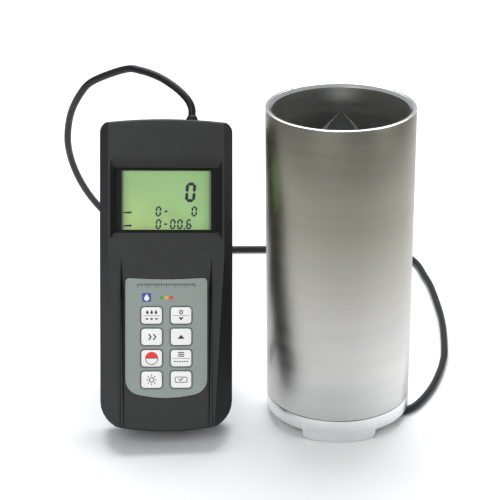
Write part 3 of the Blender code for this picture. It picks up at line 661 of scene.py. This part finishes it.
def turned_plastic(name, colour):
    """Plastic turned from rod, with lathe rings over a faint grain."""
    finish = Finish(name, colour, 0.45)
    turned = finish.use("Turned lines", Pitch=1500.0)
    grained = finish.use("Moulded grain", Grain=1300.0)
    finish.give("Base Color", finish.mottled(grained, 0.92, 1.04))
    finish.give("Roughness", finish.spread(turned["Band"], 0.3, 0.7, 0.4, 0.52))
    finish.bump(finish.maths("ADD", turned["Height"], grained["Height"]), 0.25, 0.012)
    return finish.material


def battery_wrap(name):
    """A plain cell, in a sleeve that is black in the middle and copper-coloured towards its bare ends."""
    finish = Finish(name, (0.02, 0.02, 0.022), 0.25, coat_weight=0.5, coat_roughness=0.1)
    up = finish.parts(finish.place())["Y"]
    from_middle = finish.maths("ABSOLUTE", finish.maths("SUBTRACT", up, CELL_MIDDLE * MM))
    grained = finish.use("Moulded grain", Grain=900.0)
    band = finish.maths("GREATER_THAN", from_middle, CELL_BLACK * MM)
    end = finish.maths("GREATER_THAN", from_middle, CELL_SLEEVE * MM)
    cloud = finish.spread(grained["Cloud"], 0.3, 0.7)
    body = finish.blend(cloud, (0.016, 0.016, 0.018, 1.0), (0.03, 0.03, 0.033, 1.0))
    wrapped = finish.blend(band, body, (0.42, 0.2, 0.07, 1.0))
    finish.give("Base Color", finish.blend(end, wrapped, (0.6, 0.59, 0.56, 1.0)))
    finish.give("Metallic", finish.maths("MAXIMUM", finish.maths("MULTIPLY", band, 0.6), end))
    finish.bump(grained["Height"], 0.1, 0.01)
    return finish.material


# ---------------------------------------------------------------- settings


class CaseSettings(bpy.types.PropertyGroup):
    """What the handset's case is made of."""

    colour: FloatVectorProperty(
        name="Face colour", description="Colour of the case's face", subtype="COLOR",
        default=(0.029, 0.030, 0.0285),
    )
    side_colour: FloatVectorProperty(
        name="Side colour", description="Colour of the case where it slopes away", subtype="COLOR",
        default=(0.008, 0.008, 0.0095),
    )
    edge: FloatProperty(
        name="Edge rounding", description="Radius of the case's edges, in millimetres",
        default=0.45, min=0.05, max=2.0,
    )


class KeypadSettings(bpy.types.PropertyGroup):
    """The keypad's film and keys."""

    film_colour: FloatVectorProperty(
        name="Film colour", description="Colour of the keypad's film", subtype="COLOR",
        default=(0.232, 0.270, 0.248),
    )
    key_colour: FloatVectorProperty(
        name="Key colour", description="Colour of the keys", subtype="COLOR",
        default=(0.76, 0.77, 0.74),
    )
    crown: FloatProperty(
        name="Key crown", description="How far a key's rim falls below its middle, in millimetres",
        default=0.4, min=0.1, max=0.8,
    )


class DisplaySettings(bpy.types.PropertyGroup):
    """The liquid crystal display."""

    green: FloatVectorProperty(
        name="Lit colour", description="Colour of the lit cell", subtype="COLOR",
        default=(0.30, 0.50, 0.215),
    )
    glow: FloatProperty(name="Glow", description="Strength of the backlight", default=0.42, min=0.0, max=4.0)
    slant: FloatProperty(
        name="Digit slant", description="How far the digits lean, as a share of their height", default=0.07,
        min=0.0, max=0.4,
    )


class CupSettings(bpy.types.PropertyGroup):
    """The sample cup."""

    colour: FloatVectorProperty(
        name="Metal colour", description="Colour of the turned aluminium", subtype="COLOR",
        default=(0.66, 0.66, 0.65),
    )
    # painted shade: how far the wall's colour is darkened and warmed towards the rim, in place of the darker
    # reflection there
    rim_painted_shade: FloatVectorProperty(
        name="Upper tint", description="Tint of the wall towards its rim", subtype="COLOR",
        default=(0.50, 0.48, 0.405),
    )
    bore_colour: FloatVectorProperty(
        name="Bore colour", description="Colour of the metal inside", subtype="COLOR",
        default=(0.74, 0.74, 0.70),
    )
    roughness: FloatProperty(
        name="Wall roughness", description="How far the turned wall spreads a reflection",
        default=0.34, min=0.05, max=1.0,
    )


class CableSettings(bpy.types.PropertyGroup):
    """The cable from the handset to the cup."""

    colour: FloatVectorProperty(
        name="Jacket colour", description="Colour of the cable's jacket", subtype="COLOR",
        default=(0.012, 0.012, 0.013),
    )
    diameter: FloatProperty(
        name="Diameter", description="Diameter of the jacket", default=0.004, min=0.002, max=0.008,
        unit="LENGTH",
    )


class StageSettings(bpy.types.PropertyGroup):
    """The camera, the lights and the floor."""

    lens: FloatProperty(name="Lens", description="Focal length of the camera", default=118.757, unit="CAMERA")
    pitch: FloatProperty(
        name="Pitch", description="How far the camera looks down", default=math.radians(23.68),
        subtype="ANGLE",
    )
    floor_colour: FloatVectorProperty(
        name="Floor colour", description="Colour of the floor", subtype="COLOR",
        default=(0.94, 0.94, 0.94),
    )
    # painted shade: the floor's colour outside the painted pool of light
    floor_shade_colour: FloatVectorProperty(
        name="Far floor colour", description="Colour of the floor away from the meter", subtype="COLOR",
        default=(0.52, 0.52, 0.50),
    )
    # radius of the pool of light painted on the floor
    pool: FloatProperty(
        name="Pale pool", description="Radius of the palest part of the floor", default=0.66, min=0.2,
        unit="LENGTH",
    )
    steps: IntProperty(
        name="Floor steps", description="Divisions of the floor each way", default=8, min=1, max=64,
    )


def settings():
    return bpy.context.scene.moisture_meter


class MeterSettings(bpy.types.PropertyGroup):
    """All the settings of the meter and its scene."""

    case: PointerProperty(type=CaseSettings, name="Case", description="The handset's case")
    keypad: PointerProperty(type=KeypadSettings, name="Keypad", description="The film and the keys")
    display: PointerProperty(type=DisplaySettings, name="Display", description="The liquid crystal display")
    cup: PointerProperty(type=CupSettings, name="Cup", description="The sample cup")
    cable: PointerProperty(type=CableSettings, name="Cable", description="The cable")
    stage: PointerProperty(type=StageSettings, name="Stage", description="Camera, lights and floor")


FINISHES = {}  # the materials by short name, once they are made


# ---------------------------------------------------------------- operators


class METER_OT_camera(bpy.types.Operator):
    """Sets up the camera in front of the meter and the cup"""

    bl_idname = "meter.camera"
    bl_label = "Set up the camera"

    def execute(self, context):
        stage = settings().stage
        data = bpy.data.cameras.new("front_camera")
        data.sensor_width = 36.0
        data.lens = stage.lens
        data.shift_x = CAMERA_SHIFT
        camera = linked("front_camera", data)
        camera.location = CAMERA_AT
        camera.rotation_euler = (math.pi / 2 - stage.pitch, 0, 0)
        context.scene.camera = camera
        return {"FINISHED"}


class METER_OT_finishes(bpy.types.Operator):
    """Makes the materials and the effects they share"""

    bl_idname = "meter.finishes"
    bl_label = "Make the finishes"

    def execute(self, context):
        meter = settings()
        FINISHES.update(make_finishes(meter.case, meter.keypad, meter.display, meter.cup, meter.cable))
        return {"FINISHED"}


def smooth_route():
    """Close points on the Catmull-Rom curve through the cable's route, in metres."""
    route = [Vector(p) * MM for p in CABLE_ROUTE]
    ends = [2 * route[0] - route[1]] + route + [2 * route[-1] - route[-2]]
    points = []
    for a, b, c, d in zip(ends, ends[1:], ends[2:], ends[3:]):
        for k in range(CABLE_FINE):
            t = k / CABLE_FINE
            points.append(0.5 * (
                2 * b + (c - a) * t + (2 * a - 5 * b + 4 * c - d) * t ** 2 + (3 * b - a - 3 * c + d) * t ** 3
            ))
    return points + [route[-1]]


class METER_OT_cable(bpy.types.Operator):
    """Lays the cable from the handset's top end, round behind both units, to the foot of the cup"""

    bl_idname = "meter.cable"
    bl_label = "Lay the cable"

    def execute(self, context):
        points = smooth_route()
        diameter = settings().cable.diameter
        curve = bpy.data.curves.new("cable", "CURVE")
        curve.dimensions = "3D"
        curve.bevel_depth = diameter / 2
        curve.bevel_resolution = 5
        curve.use_fill_caps = True
        spline = curve.splines.new("POLY")
        spline.points.add(len(points) - 1)
        for slot, point in zip(spline.points, points):
            slot.co = (*point, 1.0)
        spline.use_smooth = True
        curve.materials.append(FINISHES["cable"])
        cable = linked("cable", curve)
        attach(cable, "meter")
        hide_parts("sensor_cable")
        return {"FINISHED"}


class METER_OT_case(bpy.types.Operator):
    """Finishes the case: its covers, battery door, screws, stand and cable grommet"""

    bl_idname = "meter.case"
    bl_label = "Finish the case"

    def execute(self, context):
        edge = settings().case.edge
        for node in ("front_cover", "rear_cover"):
            refined(node, "case", edge, step=FACE_STEP)
        refined("battery_door", "door", 0.25, step=FACE_STEP)
        refined("tilt_stand", "door", 0.4, 3)
        refined("stand_rod", "steel", 0.15)
        for number in range(1, 5):
            refined(f"case_screw_{number}", "steel", SCREW_EDGE)
        self.grommet()
        return {"FINISHED"}

    def grommet(self):
        """The strain relief: a flange inside the case, a ribbed neck, and a lip round the cable."""
        x, z = CABLE_HOLE
        profile = [
            (0, 154.0), (4.3, 154.0), (4.6, 154.3), (4.6, 156.6), (4.3, 156.9), (3.3, 156.9), (3.3, 161.4),
        ]
        for rib in range(3):
            start, radius = 161.5 + rib * 0.6, 3.3 - rib * 0.2
            profile += [(radius, start), (radius, start + 0.3), (2.9 - rib * 0.2, start + 0.4)]
        profile += [(2.6, 163.35), (2.35, 163.75), (2.1, 164.1), (0, 164.1)]
        bm = bmesh.new()
        add_lathe(bm, profile[::-1], 48)
        turn = Matrix.Translation((x, 0, z)) @ Matrix.Rotation(-math.pi / 2, 4, "X")
        bmesh.ops.transform(bm, verts=bm.verts, matrix=turn)
        bmesh.ops.recalc_face_normals(bm, faces=bm.faces)
        return put("grommet", bm, ["rubber"], stands_for=["cable_grommet"])


SEGMENTS = {  # the seven strokes of a digit, as ends in units of its half width and half height
    "top": ((-1, 1), (1, 1)), "high_left": ((-1, 0), (-1, 1)), "high_right": ((1, 0), (1, 1)),
    "middle": ((-1, 0), (1, 0)), "low_left": ((-1, -1), (-1, 0)), "low_right": ((1, -1), (1, 0)),
    "bottom": ((-1, -1), (1, -1)),
}
LIT = {
    "0": ("top", "high_left", "high_right", "low_left", "low_right", "bottom"),
    "6": ("top", "high_left", "middle", "low_left", "low_right", "bottom"),
    "-": ("middle",),
}
READINGS = (  # character, middle across, middle up, width, height, stroke
    ("0", 12.5, 123.4, 5.3, 10.2, 1.6),
    ("0", -4.1, 113.5, 2.9, 5.3, 0.9), ("-", -0.2, 113.5, 2.9, 5.3, 0.9), ("0", 14.4, 113.5, 2.9, 5.3, 0.9),
    ("0", -4.1, 106.9, 2.9, 5.2, 0.9), ("-", -0.4, 106.9, 2.9, 5.2, 0.9), ("0", 3.3, 106.9, 2.9, 5.2, 0.9),
    ("0", 7.0, 106.9, 2.9, 5.2, 0.9), ("6", 11.6, 106.9, 2.9, 5.2, 0.9),
)


class METER_OT_display(bpy.types.Operator):
    """Finishes the display: its window, black mask, lit cell and the figures on it"""

    bl_idname = "meter.display"
    bl_label = "Finish the display"

    def execute(self, context):
        refined("display_window", "window", 0.15)
        refined("display_frame", "bezel", 0.12)
        refined("display_glass", "lcd", 0.08)
        refined("backlight", "lens", 0.1)
        self.figures()
        return {"FINISHED"}

    def figures(self):
        slant = settings().display.slant
        bm = bmesh.new()
        low, high = LCD_FACE + LCD_GAP, LCD_FACE + LCD_GAP + PRINT
        for character, x, y, width, height, stroke in READINGS:
            for name in LIT[character]:
                reach = ((width - stroke) / 2, (height - stroke) / 2)
                ends = [Vector((x + u * reach[0], y + v * reach[1])) for u, v in SEGMENTS[name]]
                along = (ends[1] - ends[0]).normalized()
                side = Vector((-along.y, along.x)) * stroke / 2
                a, b = ends[0] + along * 0.1, ends[1] - along * 0.1
                inset = along * stroke * 0.42
                outline = [a, a + inset - side, b - inset - side, b, b - inset + side, a + inset + side]
                add_prism(bm, [(p.x + (p.y - y) * slant, p.y) for p in outline], low, high)
        add_prism(bm, circle(9.35, 104.6, 0.42, 16), low, high)
        for y in (113.4, 106.6):
            wedge = [(-22.4, y - 0.95), (-17.9, y - 0.95), (-17.9, y + 0.15), (-22.4, y - 0.35)]
            add_prism(bm, wedge, low, high)
        half, bottom, top = LCD
        for side in (-1, 1):
            inner, outer = sorted((side * (half - 1.1), side * (half + 0.2)))
            add_box(bm, (inner, bottom, low), (outer, top, high), slot=1)
        put("display_figures", bm, ["lcd_dark", "lcd_edge"])


def key_places():
    """Each key's number and middle, from the top row down and from left to right."""
    for row, y in enumerate(KEY_ROWS):
        for column, x in enumerate(KEY_COLUMNS):
            yield 2 * row + column + 1, x, y


class METER_OT_keypad(bpy.types.Operator):
    """Finishes the keypad: its film and print, a painted shadow round each key, the rubber mat, and each key
    with its sign
    """

    bl_idname = "meter.keypad"
    bl_label = "Finish the keypad"

    def execute(self, context):
        refined("keypad_overlay", "film", 0.12, step=FACE_STEP)
        refined("key_mat", "rubber", 0.2)
        self.film_print_and_key_shadows()
        for number, x, y in key_places():
            self.key(number, x, y)
            self.sign(number, x, y)
        return {"FINISHED"}

    def key(self, number, x, y):
        """A key: a flange under the cover, straight sides, and a crowned top."""
        width, height, radius = KEY_SIZE
        crown = settings().keypad.crown
        levels = [
            (-0.9, KEY_FOOT), (-0.9, KEY_FLANGE), (0.0, KEY_FLANGE), (0.0, KEY_TOP - crown - 0.05),
            (0.05, KEY_TOP - crown * 0.62), (0.16, KEY_TOP - crown * 0.3), (0.32, KEY_TOP - crown * 0.1),
            (0.6, KEY_TOP),
        ]
        rings = []
        for inset, z in levels:
            outline = round_box(x, y, width - 2 * inset, height - 2 * inset, radius - inset * 0.6, 7)
            rings.append([(p.x, p.y, z) for p in outline])
        bm = bmesh.new()
        add_loft(bm, rings)
        body = f"key_{number}"
        put(f"{body}_cap", bm, ["key"], body=body, sharp=40.0, stands_for=[body])

    def film_print_and_key_shadows(self):
        """The film's print: a scale, a drop badge and three dots, and a grey ring round each key that is
        painted shadow, standing in for the shade the raised key casts on the film.

        A slot is a place in INKS.
        """
        low, high = FACE + PRINT_GAP, FACE + PRINT_GAP + PRINT
        width, height, radius = KEY_SIZE
        bm = bmesh.new()
        # painted shadow: a grey ring round each key stands in for the shade that the raised key casts on the
        # film
        for _, x, y in key_places():
            outer = round_box(x, y, width + 1.5, height + 1.5, radius + 0.6)
            inner = round_box(x, y, width + 0.75, height + 0.75, radius + 0.3)
            add_ring(bm, outer, inner, low, high, slot=1)
        for tick in range(SCALE_TICKS):
            tall = 1.7 if tick % 4 == 0 else 0.95
            x = (tick - SCALE_TICKS // 2) * SCALE_PITCH
            add_box(bm, (x - 0.17, SCALE_AT - tall, low), (x + 0.17, SCALE_AT, high))
        add_box(bm, (-14.82, SCALE_AT - 0.1, low), (14.82, SCALE_AT + 0.15, high))
        add_prism(bm, round_box(BADGE_X, BADGE_Y, 4.6, 4.6, 0.8), low, high, slot=5)
        drop = [(BADGE_X, BADGE_Y + 1.8), *circle(BADGE_X, BADGE_Y - 0.5, 1.25, 20, 140, 260)]
        add_prism(bm, drop, high, high + PRINT, slot=6)
        for x, slot in ((-2.5, 2), (0.0, 4), (2.5, 3)):
            add_prism(bm, circle(x, 69.0, 0.98, 24), low, high, slot=slot)
        put("film_print_and_key_shadows", bm, list(INKS))

    def sign(self, number, x, y):
        """A key's sign, printed on its top."""
        low = KEY_TOP + PRINT_GAP
        bm = bmesh.new()
        SIGNS[number - 1](bm, x, y, low, low + PRINT)
        put(f"key_{number}_sign", bm, ["ink_dark", "ink_red"], body=f"key_{number}")


def rule_line(bm, x, y, low, high):
    add_box(bm, (x - RULE_HALF, y - 0.09, low), (x + RULE_HALF, y + 0.09, high))


def sign_measure(bm, x, y, low, high):
    """Three drops over a line, with three small grains below."""
    for offset in (-2.2, 0.0, 2.2):
        drop = [(x + offset, y + 3.0), *circle(x + offset, y + 1.45, 0.68, 16, 140, 260)]
        add_prism(bm, drop, low, high)
    rule_line(bm, x, y - 0.1, low, high)
    for offset in (-2.4, 0.0, 2.4):
        grain = [(x + offset + 0.75 * p.x, y - 1.75 + 0.42 * p.y) for p in circle(0.0, 0.0, 1.0, 14)]
        add_prism(bm, grain, low, high)


def sign_zero(bm, x, y, low, high):
    """A zero over a line, with a downward arrowhead below."""
    add_ring(bm, round_box(x, y + 1.7, 1.9, 2.3, 0.9), round_box(x, y + 1.7, 0.9, 1.3, 0.4), low, high)
    rule_line(bm, x, y - 0.1, low, high)
    add_prism(bm, [(x - 1.3, y - 1.0), (x, y - 2.5), (x + 1.3, y - 1.0)], low, high)


def sign_read(bm, x, y, low, high):
    """Two chevrons that point right."""
    for offset in (-1.9, 0.5):
        left = x + offset
        add_prism(bm, [(left, y + 1.5), (left + 0.8, y + 1.5), (left + 2.0, y), (left + 0.8, y - 1.5),
                       (left, y - 1.5), (left + 1.2, y)], low, high)


def sign_up(bm, x, y, low, high):
    """An arrowhead that points up."""
    add_prism(bm, [(x - 1.8, y - 1.0), (x + 1.8, y - 1.0), (x, y + 1.1)], low, high)


def sign_power(bm, x, y, low, high):
    """A disc, red above and open below."""
    add_prism(bm, circle(x, y, 3.35, 24, 0, 180), low, high, slot=1)
    add_ring(bm, circle(x, y, 3.35, 24, 180, 180), circle(x, y, 3.0, 24, 180, 180), low, high)
    add_box(bm, (x - 3.35, y - 0.12, high), (x + 3.35, y + 0.12, high + PRINT))


def sign_list(bm, x, y, low, high):
    """Three short bars over a line, with a dotted row below."""
    for row in range(3):
        add_box(bm, (x - 1.6, y + 0.8 + row * 0.95, low), (x + 1.6, y + 1.3 + row * 0.95, high))
    rule_line(bm, x, y - 0.1, low, high)
    for dot in range(6):
        left = x - 3.6 + dot * 1.28
        add_box(bm, (left, y - 1.95, low), (left + 0.8, y - 1.4, high))


def sign_light(bm, x, y, low, high):
    """A lamp: a ring with eight rays."""
    add_ring(bm, circle(x, y, 1.35, 24), circle(x, y, 0.95, 24), low, high)
    for ray in range(8):
        turn = Matrix.Rotation(math.pi * ray / 4, 2)
        corners = [turn @ Vector(p) for p in ((1.75, -0.17), (2.75, -0.17), (2.75, 0.17), (1.75, 0.17))]
        add_prism(bm, [(x + p.x, y + p.y) for p in corners], low, high)


def sign_choose(bm, x, y, low, high):
    """A framed tick mark."""
    add_ring(bm, round_box(x, y, 6.4, 3.0, 0.7), round_box(x, y, 5.7, 2.3, 0.4), low, high)
    add_prism(bm, [(x - 1.2, y + 0.15), (x - 0.35, y - 0.75), (x + 1.25, y + 0.75), (x + 0.9, y + 1.0),
                   (x - 0.35, y - 0.1), (x - 0.85, y + 0.45)], low, high)


SIGNS = (sign_measure, sign_zero, sign_read, sign_up, sign_power, sign_list, sign_light, sign_choose)


class METER_OT_inside(bpy.types.Operator):
    """Finishes what the case holds: the board with its components, and the cells between their springs"""

    bl_idname = "meter.inside"
    bl_label = "Finish the inside"

    def execute(self, context):
        refined("main_board", "board", 0.1)
        refined("buzzer", "chip", 0.4, 3)
        refined("cable_connector", "cream", 0.25)
        self.components()
        for number in range(1, 5):
            refined(f"battery_{number}", "cell_wrap", 0.35, 3)
        self.contacts("contact_strip_low", 18.9, 19.3, 21.9)
        self.contacts("contact_strip_high", 72.6, 72.2, 67.9)
        return {"FINISHED"}

    def components(self):
        """Chips with legs, capacitors and resistors on the back of the board."""
        bm = bmesh.new()
        back = BOARD_BACK
        for x, y, width, height in CHIPS:
            low = (x - width / 2, y - height / 2, back - 1.6)
            add_box(bm, low, (x + width / 2, y + height / 2, back - 0.15))
            for leg in range(int(width / CHIP_PINS)):
                left = x - width / 2 + 0.6 + leg * CHIP_PINS
                for side in (-1, 1):
                    near, far = sorted((y + side * height / 2, y + side * (height / 2 + 0.9)))
                    add_box(bm, (left, near, back - 0.5), (left + 0.4, far, back - 0.05), slot=1)
        spread = random.Random(4)
        screw_x, screw_y, room = SCREW_ROOM
        for _ in range(SMALL_PARTS):
            x, y = spread.uniform(*PARTS_ACROSS), spread.uniform(*PARTS_UP)
            if abs(x) > screw_x and abs(y - screw_y) < room:
                continue
            add_box(bm, (x, y, back - 0.55), (x + 1.6, y + 0.8, back - 0.05), slot=2)
            add_box(bm, (x - 0.3, y, back - 0.57), (x, y + 0.8, back - 0.04), slot=1)
            add_box(bm, (x + 1.6, y, back - 0.57), (x + 1.9, y + 0.8, back - 0.04), slot=1)
        put("board_components", bm, ["chip", "nickel", "cream"])

    def contacts(self, node, back, front, tip):
        """A contact plate with a coiled spring for each cell."""
        bm = bmesh.new()
        low, high = sorted((back, front))
        half, strip_back, strip_front = STRIP
        add_box(bm, (-half, low, strip_back), (half, high, strip_front))
        toward = 1 if tip > front else -1
        for cell in range(4):
            x = (cell - 1.5) * CELL_PITCH
            points = []
            for k in range(SPRING_STEPS + 1):
                share = k / SPRING_STEPS
                radius = 3.1 - 1.5 * share
                angle = 2 * math.pi * SPRING_TURNS * share
                y = front + toward * (0.3 + (abs(tip - front) - 0.6) * share)
                points.append((x + radius * math.cos(angle), y, CELL_Z + radius * math.sin(angle)))
            add_tube(bm, points, SPRING_WIRE, 8)
        put(f"{node}_springs", bm, ["nickel"], sharp=40.0, stands_for=[node])


class METER_OT_cup(bpy.types.Operator):
    """Finishes the sample cup: its wall, its footed base, the electrode and what lies under its floor"""

    bl_idname = "meter.cup"
    bl_label = "Finish the cup"

    def execute(self, context):
        self.wall()
        self.base()
        self.electrode()
        for node, finish, edge in (
            ("floor_insulator", "insulator", 0.2), ("base_plate", "steel", 0.2),
            ("electrode_nut", "steel", 0.25), ("temperature_sensor", "steel", 0.15),
            ("sensor_board", "board", 0.1),
        ):
            refined(node, finish, edge, axes=CUP)
        refined("cable_clamp", "rubber", 0.35, 3, axes=CUP)
        for number in range(1, 4):
            refined(f"base_screw_{number}", "steel", SCREW_EDGE, axes=CUP)
        return {"FINISHED"}

    def turned(self, name, bm, finishes, node):
        """Puts a turned piece of the cup in its node's place, its faces looking out."""
        bmesh.ops.recalc_face_normals(bm, faces=bm.faces)
        piece = put(name, bm, finishes, axes=CUP, sharp=TURNED_SHARP, stands_for=[node])

    def wall(self):
        """The tube: outer wall, broken edge, flat rim, inner bevel and bore, each turned true."""
        outer, bore, top, foot = WALL_R, BORE_R, RIM, WALL_FOOT
        bm = bmesh.new()
        add_lathe(bm, [
            (outer - 0.42, foot), (outer - 0.12, foot + 0.1), (outer, foot + 0.42), (outer, foot + 40),
            (outer, foot + 80), (outer, foot + 120), (outer, top - 0.5),
        ])
        add_lathe(bm, [(outer, top - 0.5), (outer - 0.15, top - 0.15), (outer - 0.5, top), (outer - 1.7, top),
                       (outer - 1.85, top - 0.06), (bore + 0.08, top - 1.5), (bore, top - 1.62)], slot=1)
        add_lathe(bm, [(bore, top - 1.62), (bore, foot + 110), (bore, foot + 60), (bore, foot)], slot=2)
        add_lathe(bm, [(bore, foot), (outer - 0.42, foot)], slot=1)
        bmesh.ops.remove_doubles(bm, verts=bm.verts, dist=TURNED_WELD)
        self.turned("cup_tube", bm, ["aluminium", "aluminium_cut", "aluminium_inside"], "cup_wall")

    def base(self):
        """The base ring: a turned ring whose lower edge is cut away between three round-cornered lugs."""
        outer, inner, top = WALL_R, RING_BORE, RING_TOP
        corner = math.degrees(LUG_ROUND / outer)
        steps = 5
        turns = {}
        for middle in LUGS:
            for side in (-1, 1):
                end = middle + side * LUG_HALF
                for k in range(steps + 1):
                    bend = math.radians(90.0 * k / steps)
                    angle = (end - side * corner * (1 - math.sin(bend))) % 360
                    turns[angle] = LUG_ROUND * (1 - math.cos(bend))
                turns[(end + side * LUG_SIDE) % 360] = LUG_HEIGHT
        for k in range(ROUND_STEPS):
            angle = 360.0 * k / ROUND_STEPS
            apart = [abs((angle - middle + 180) % 360 - 180) for middle in LUGS]
            if min(abs(gap - LUG_HALF) for gap in apart) > corner + 0.6:
                turns[angle] = 0.0 if min(apart) < LUG_HALF else LUG_HEIGHT
        bm = bmesh.new()
        columns = []
        for angle in sorted(turns):
            low = turns[angle]
            profile = [
                (outer - 0.35, top), (outer - 0.08, top - 0.12), (outer, top - 0.4), (outer, low + 0.35),
                (outer - 0.1, low + 0.1), (outer - 0.35, low), (inner + 0.3, low), (inner, low + 0.3),
                (inner, LUG_HEIGHT + 0.4), (30.6, LUG_HEIGHT + 0.4), (30.6, 10.3), (24.0, 10.3), (24.0, 13.0),
                (30.6, 13.0), (30.6, 19.7), (34.5, 19.7), (34.5, top),
            ]
            a = math.radians(angle)
            columns.append([bm.verts.new((r * math.cos(a), r * math.sin(a), z)) for r, z in profile])
        for a, b in zip(columns, columns[1:] + columns[:1]):
            for i in range(len(a)):
                bm.faces.new((a[i - 1], a[i], b[i], b[i - 1]))
        self.turned("cup_base", bm, ["aluminium_base"], "base_ring")

    def electrode(self):
        """The centre electrode: a turned post with a cone on top, its point just blunted."""
        bm = bmesh.new()
        add_lathe(bm, [
            (0, 16.6), (2.7, 16.6), (3.0, 16.9), (3.0, 24.3), (12.2, 24.3), (12.5, 24.6), (12.5, 90),
            (12.5, 156.3), (12.38, 156.75), (12.1, 157.15), (6.5, 162.75), (0.5, 168.75), (0.2, 169.0),
            (0, 169.05),
        ][::-1], 96)
        self.turned("electrode_post", bm, ["electrode"], "centre_electrode")


class METER_OT_stage(bpy.types.Operator):
    """Lays a pale floor with a pool of light painted on it, shaded by colour away from the meter, and sets
    soft studio lights
    """

    bl_idname = "meter.stage"
    bl_label = "Set the stage"

    def execute(self, context):
        stage = settings().stage
        self.floor(stage)
        for light in LIGHTS:
            self.light(*light)
        world = bpy.data.worlds.new("studio_world")
        world.use_nodes = True
        background = world.node_tree.nodes["Background"]
        background.inputs["Color"].default_value = SKY
        background.inputs["Strength"].default_value = SKY_STRENGTH
        context.scene.world = world
        context.scene.view_settings.view_transform = "Standard"
        return {"FINISHED"}

    def floor(self, stage):
        bm = bmesh.new()
        bmesh.ops.create_grid(bm, x_segments=stage.steps, y_segments=stage.steps, size=FLOOR_HALF / MM)
        floor = linked("floor", to_mesh("floor", bm))
        floor.location.z = FLOOR_AT
        finish = Finish("floor_paper", stage.floor_colour, 0.75)
        speck = finish.noise(finish.place(), 900.0, 2.0)
        paper = finish.blend(speck, shade(stage.floor_colour, 0.985), shade(stage.floor_colour, 1.015))
        # painted light: the floor is pale in a pool round the meter and painted darker beyond it, where real
        # light would fall off
        ends = {0: finish.place(), 1: LIGHT_POOL_MIDDLE}
        away = finish.add("ShaderNodeVectorMath", ends, operation="DISTANCE").outputs["Value"]
        painted_light_falloff = finish.spread(away, stage.pool, stage.pool + LIGHT_POOL_EDGE)
        finish.give("Base Color", finish.blend(painted_light_falloff, paper, (*stage.floor_shade_colour, 1.0)))
        floor.data.materials.append(finish.material)

    def light(self, name, place, size, power, aim):
        data = bpy.data.lights.new(name, "AREA")
        data.shape = "SQUARE"
        data.size = size
        data.energy = power
        light = linked(name, data)
        light.location = place
        light.rotation_euler = (Vector(aim) - Vector(place)).to_track_quat("-Z", "Y").to_euler()


class METER_PT_panel(bpy.types.Panel):
    """Lists the steps that build the meter"""

    bl_idname = "METER_PT_panel"
    bl_label = "Moisture meter"
    bl_space_type = "VIEW_3D"
    bl_region_type = "UI"
    bl_category = "Moisture meter"

    def draw(self, context):
        meter = settings()
        for label in ("case", "keypad", "display", "cup", "cable", "stage"):
            box = self.layout.box()
            box.label(text=label.capitalize())
            group = getattr(meter, label)
            for name in group.bl_rna.properties.keys():
                if name not in ("rna_type", "name"):
                    box.prop(group, name)
        for step in STEPS:
            self.layout.operator(step.bl_idname)


GROUPS = (
    CaseSettings, KeypadSettings, DisplaySettings, CupSettings, CableSettings, StageSettings, MeterSettings,
)
STEPS = (
    METER_OT_camera, METER_OT_finishes, METER_OT_cable, METER_OT_case, METER_OT_display, METER_OT_keypad,
    METER_OT_inside, METER_OT_cup, METER_OT_stage,
)


def register():
    for made in (*GROUPS, *STEPS, METER_PT_panel):
        bpy.utils.register_class(made)
    bpy.types.Scene.moisture_meter = PointerProperty(type=MeterSettings)


def unregister():
    del bpy.types.Scene.moisture_meter
    for made in reversed((*GROUPS, *STEPS, METER_PT_panel)):
        bpy.utils.unregister_class(made)


def main():
    register()
    bpy.ops.meter.camera()
    bpy.ops.meter.finishes()
    bpy.ops.meter.cable()
    bpy.ops.meter.case()
    bpy.ops.meter.display()
    bpy.ops.meter.keypad()
    bpy.ops.meter.inside()
    bpy.ops.meter.cup()
    bpy.ops.meter.stage()


if __name__ == "__main__":
    main()
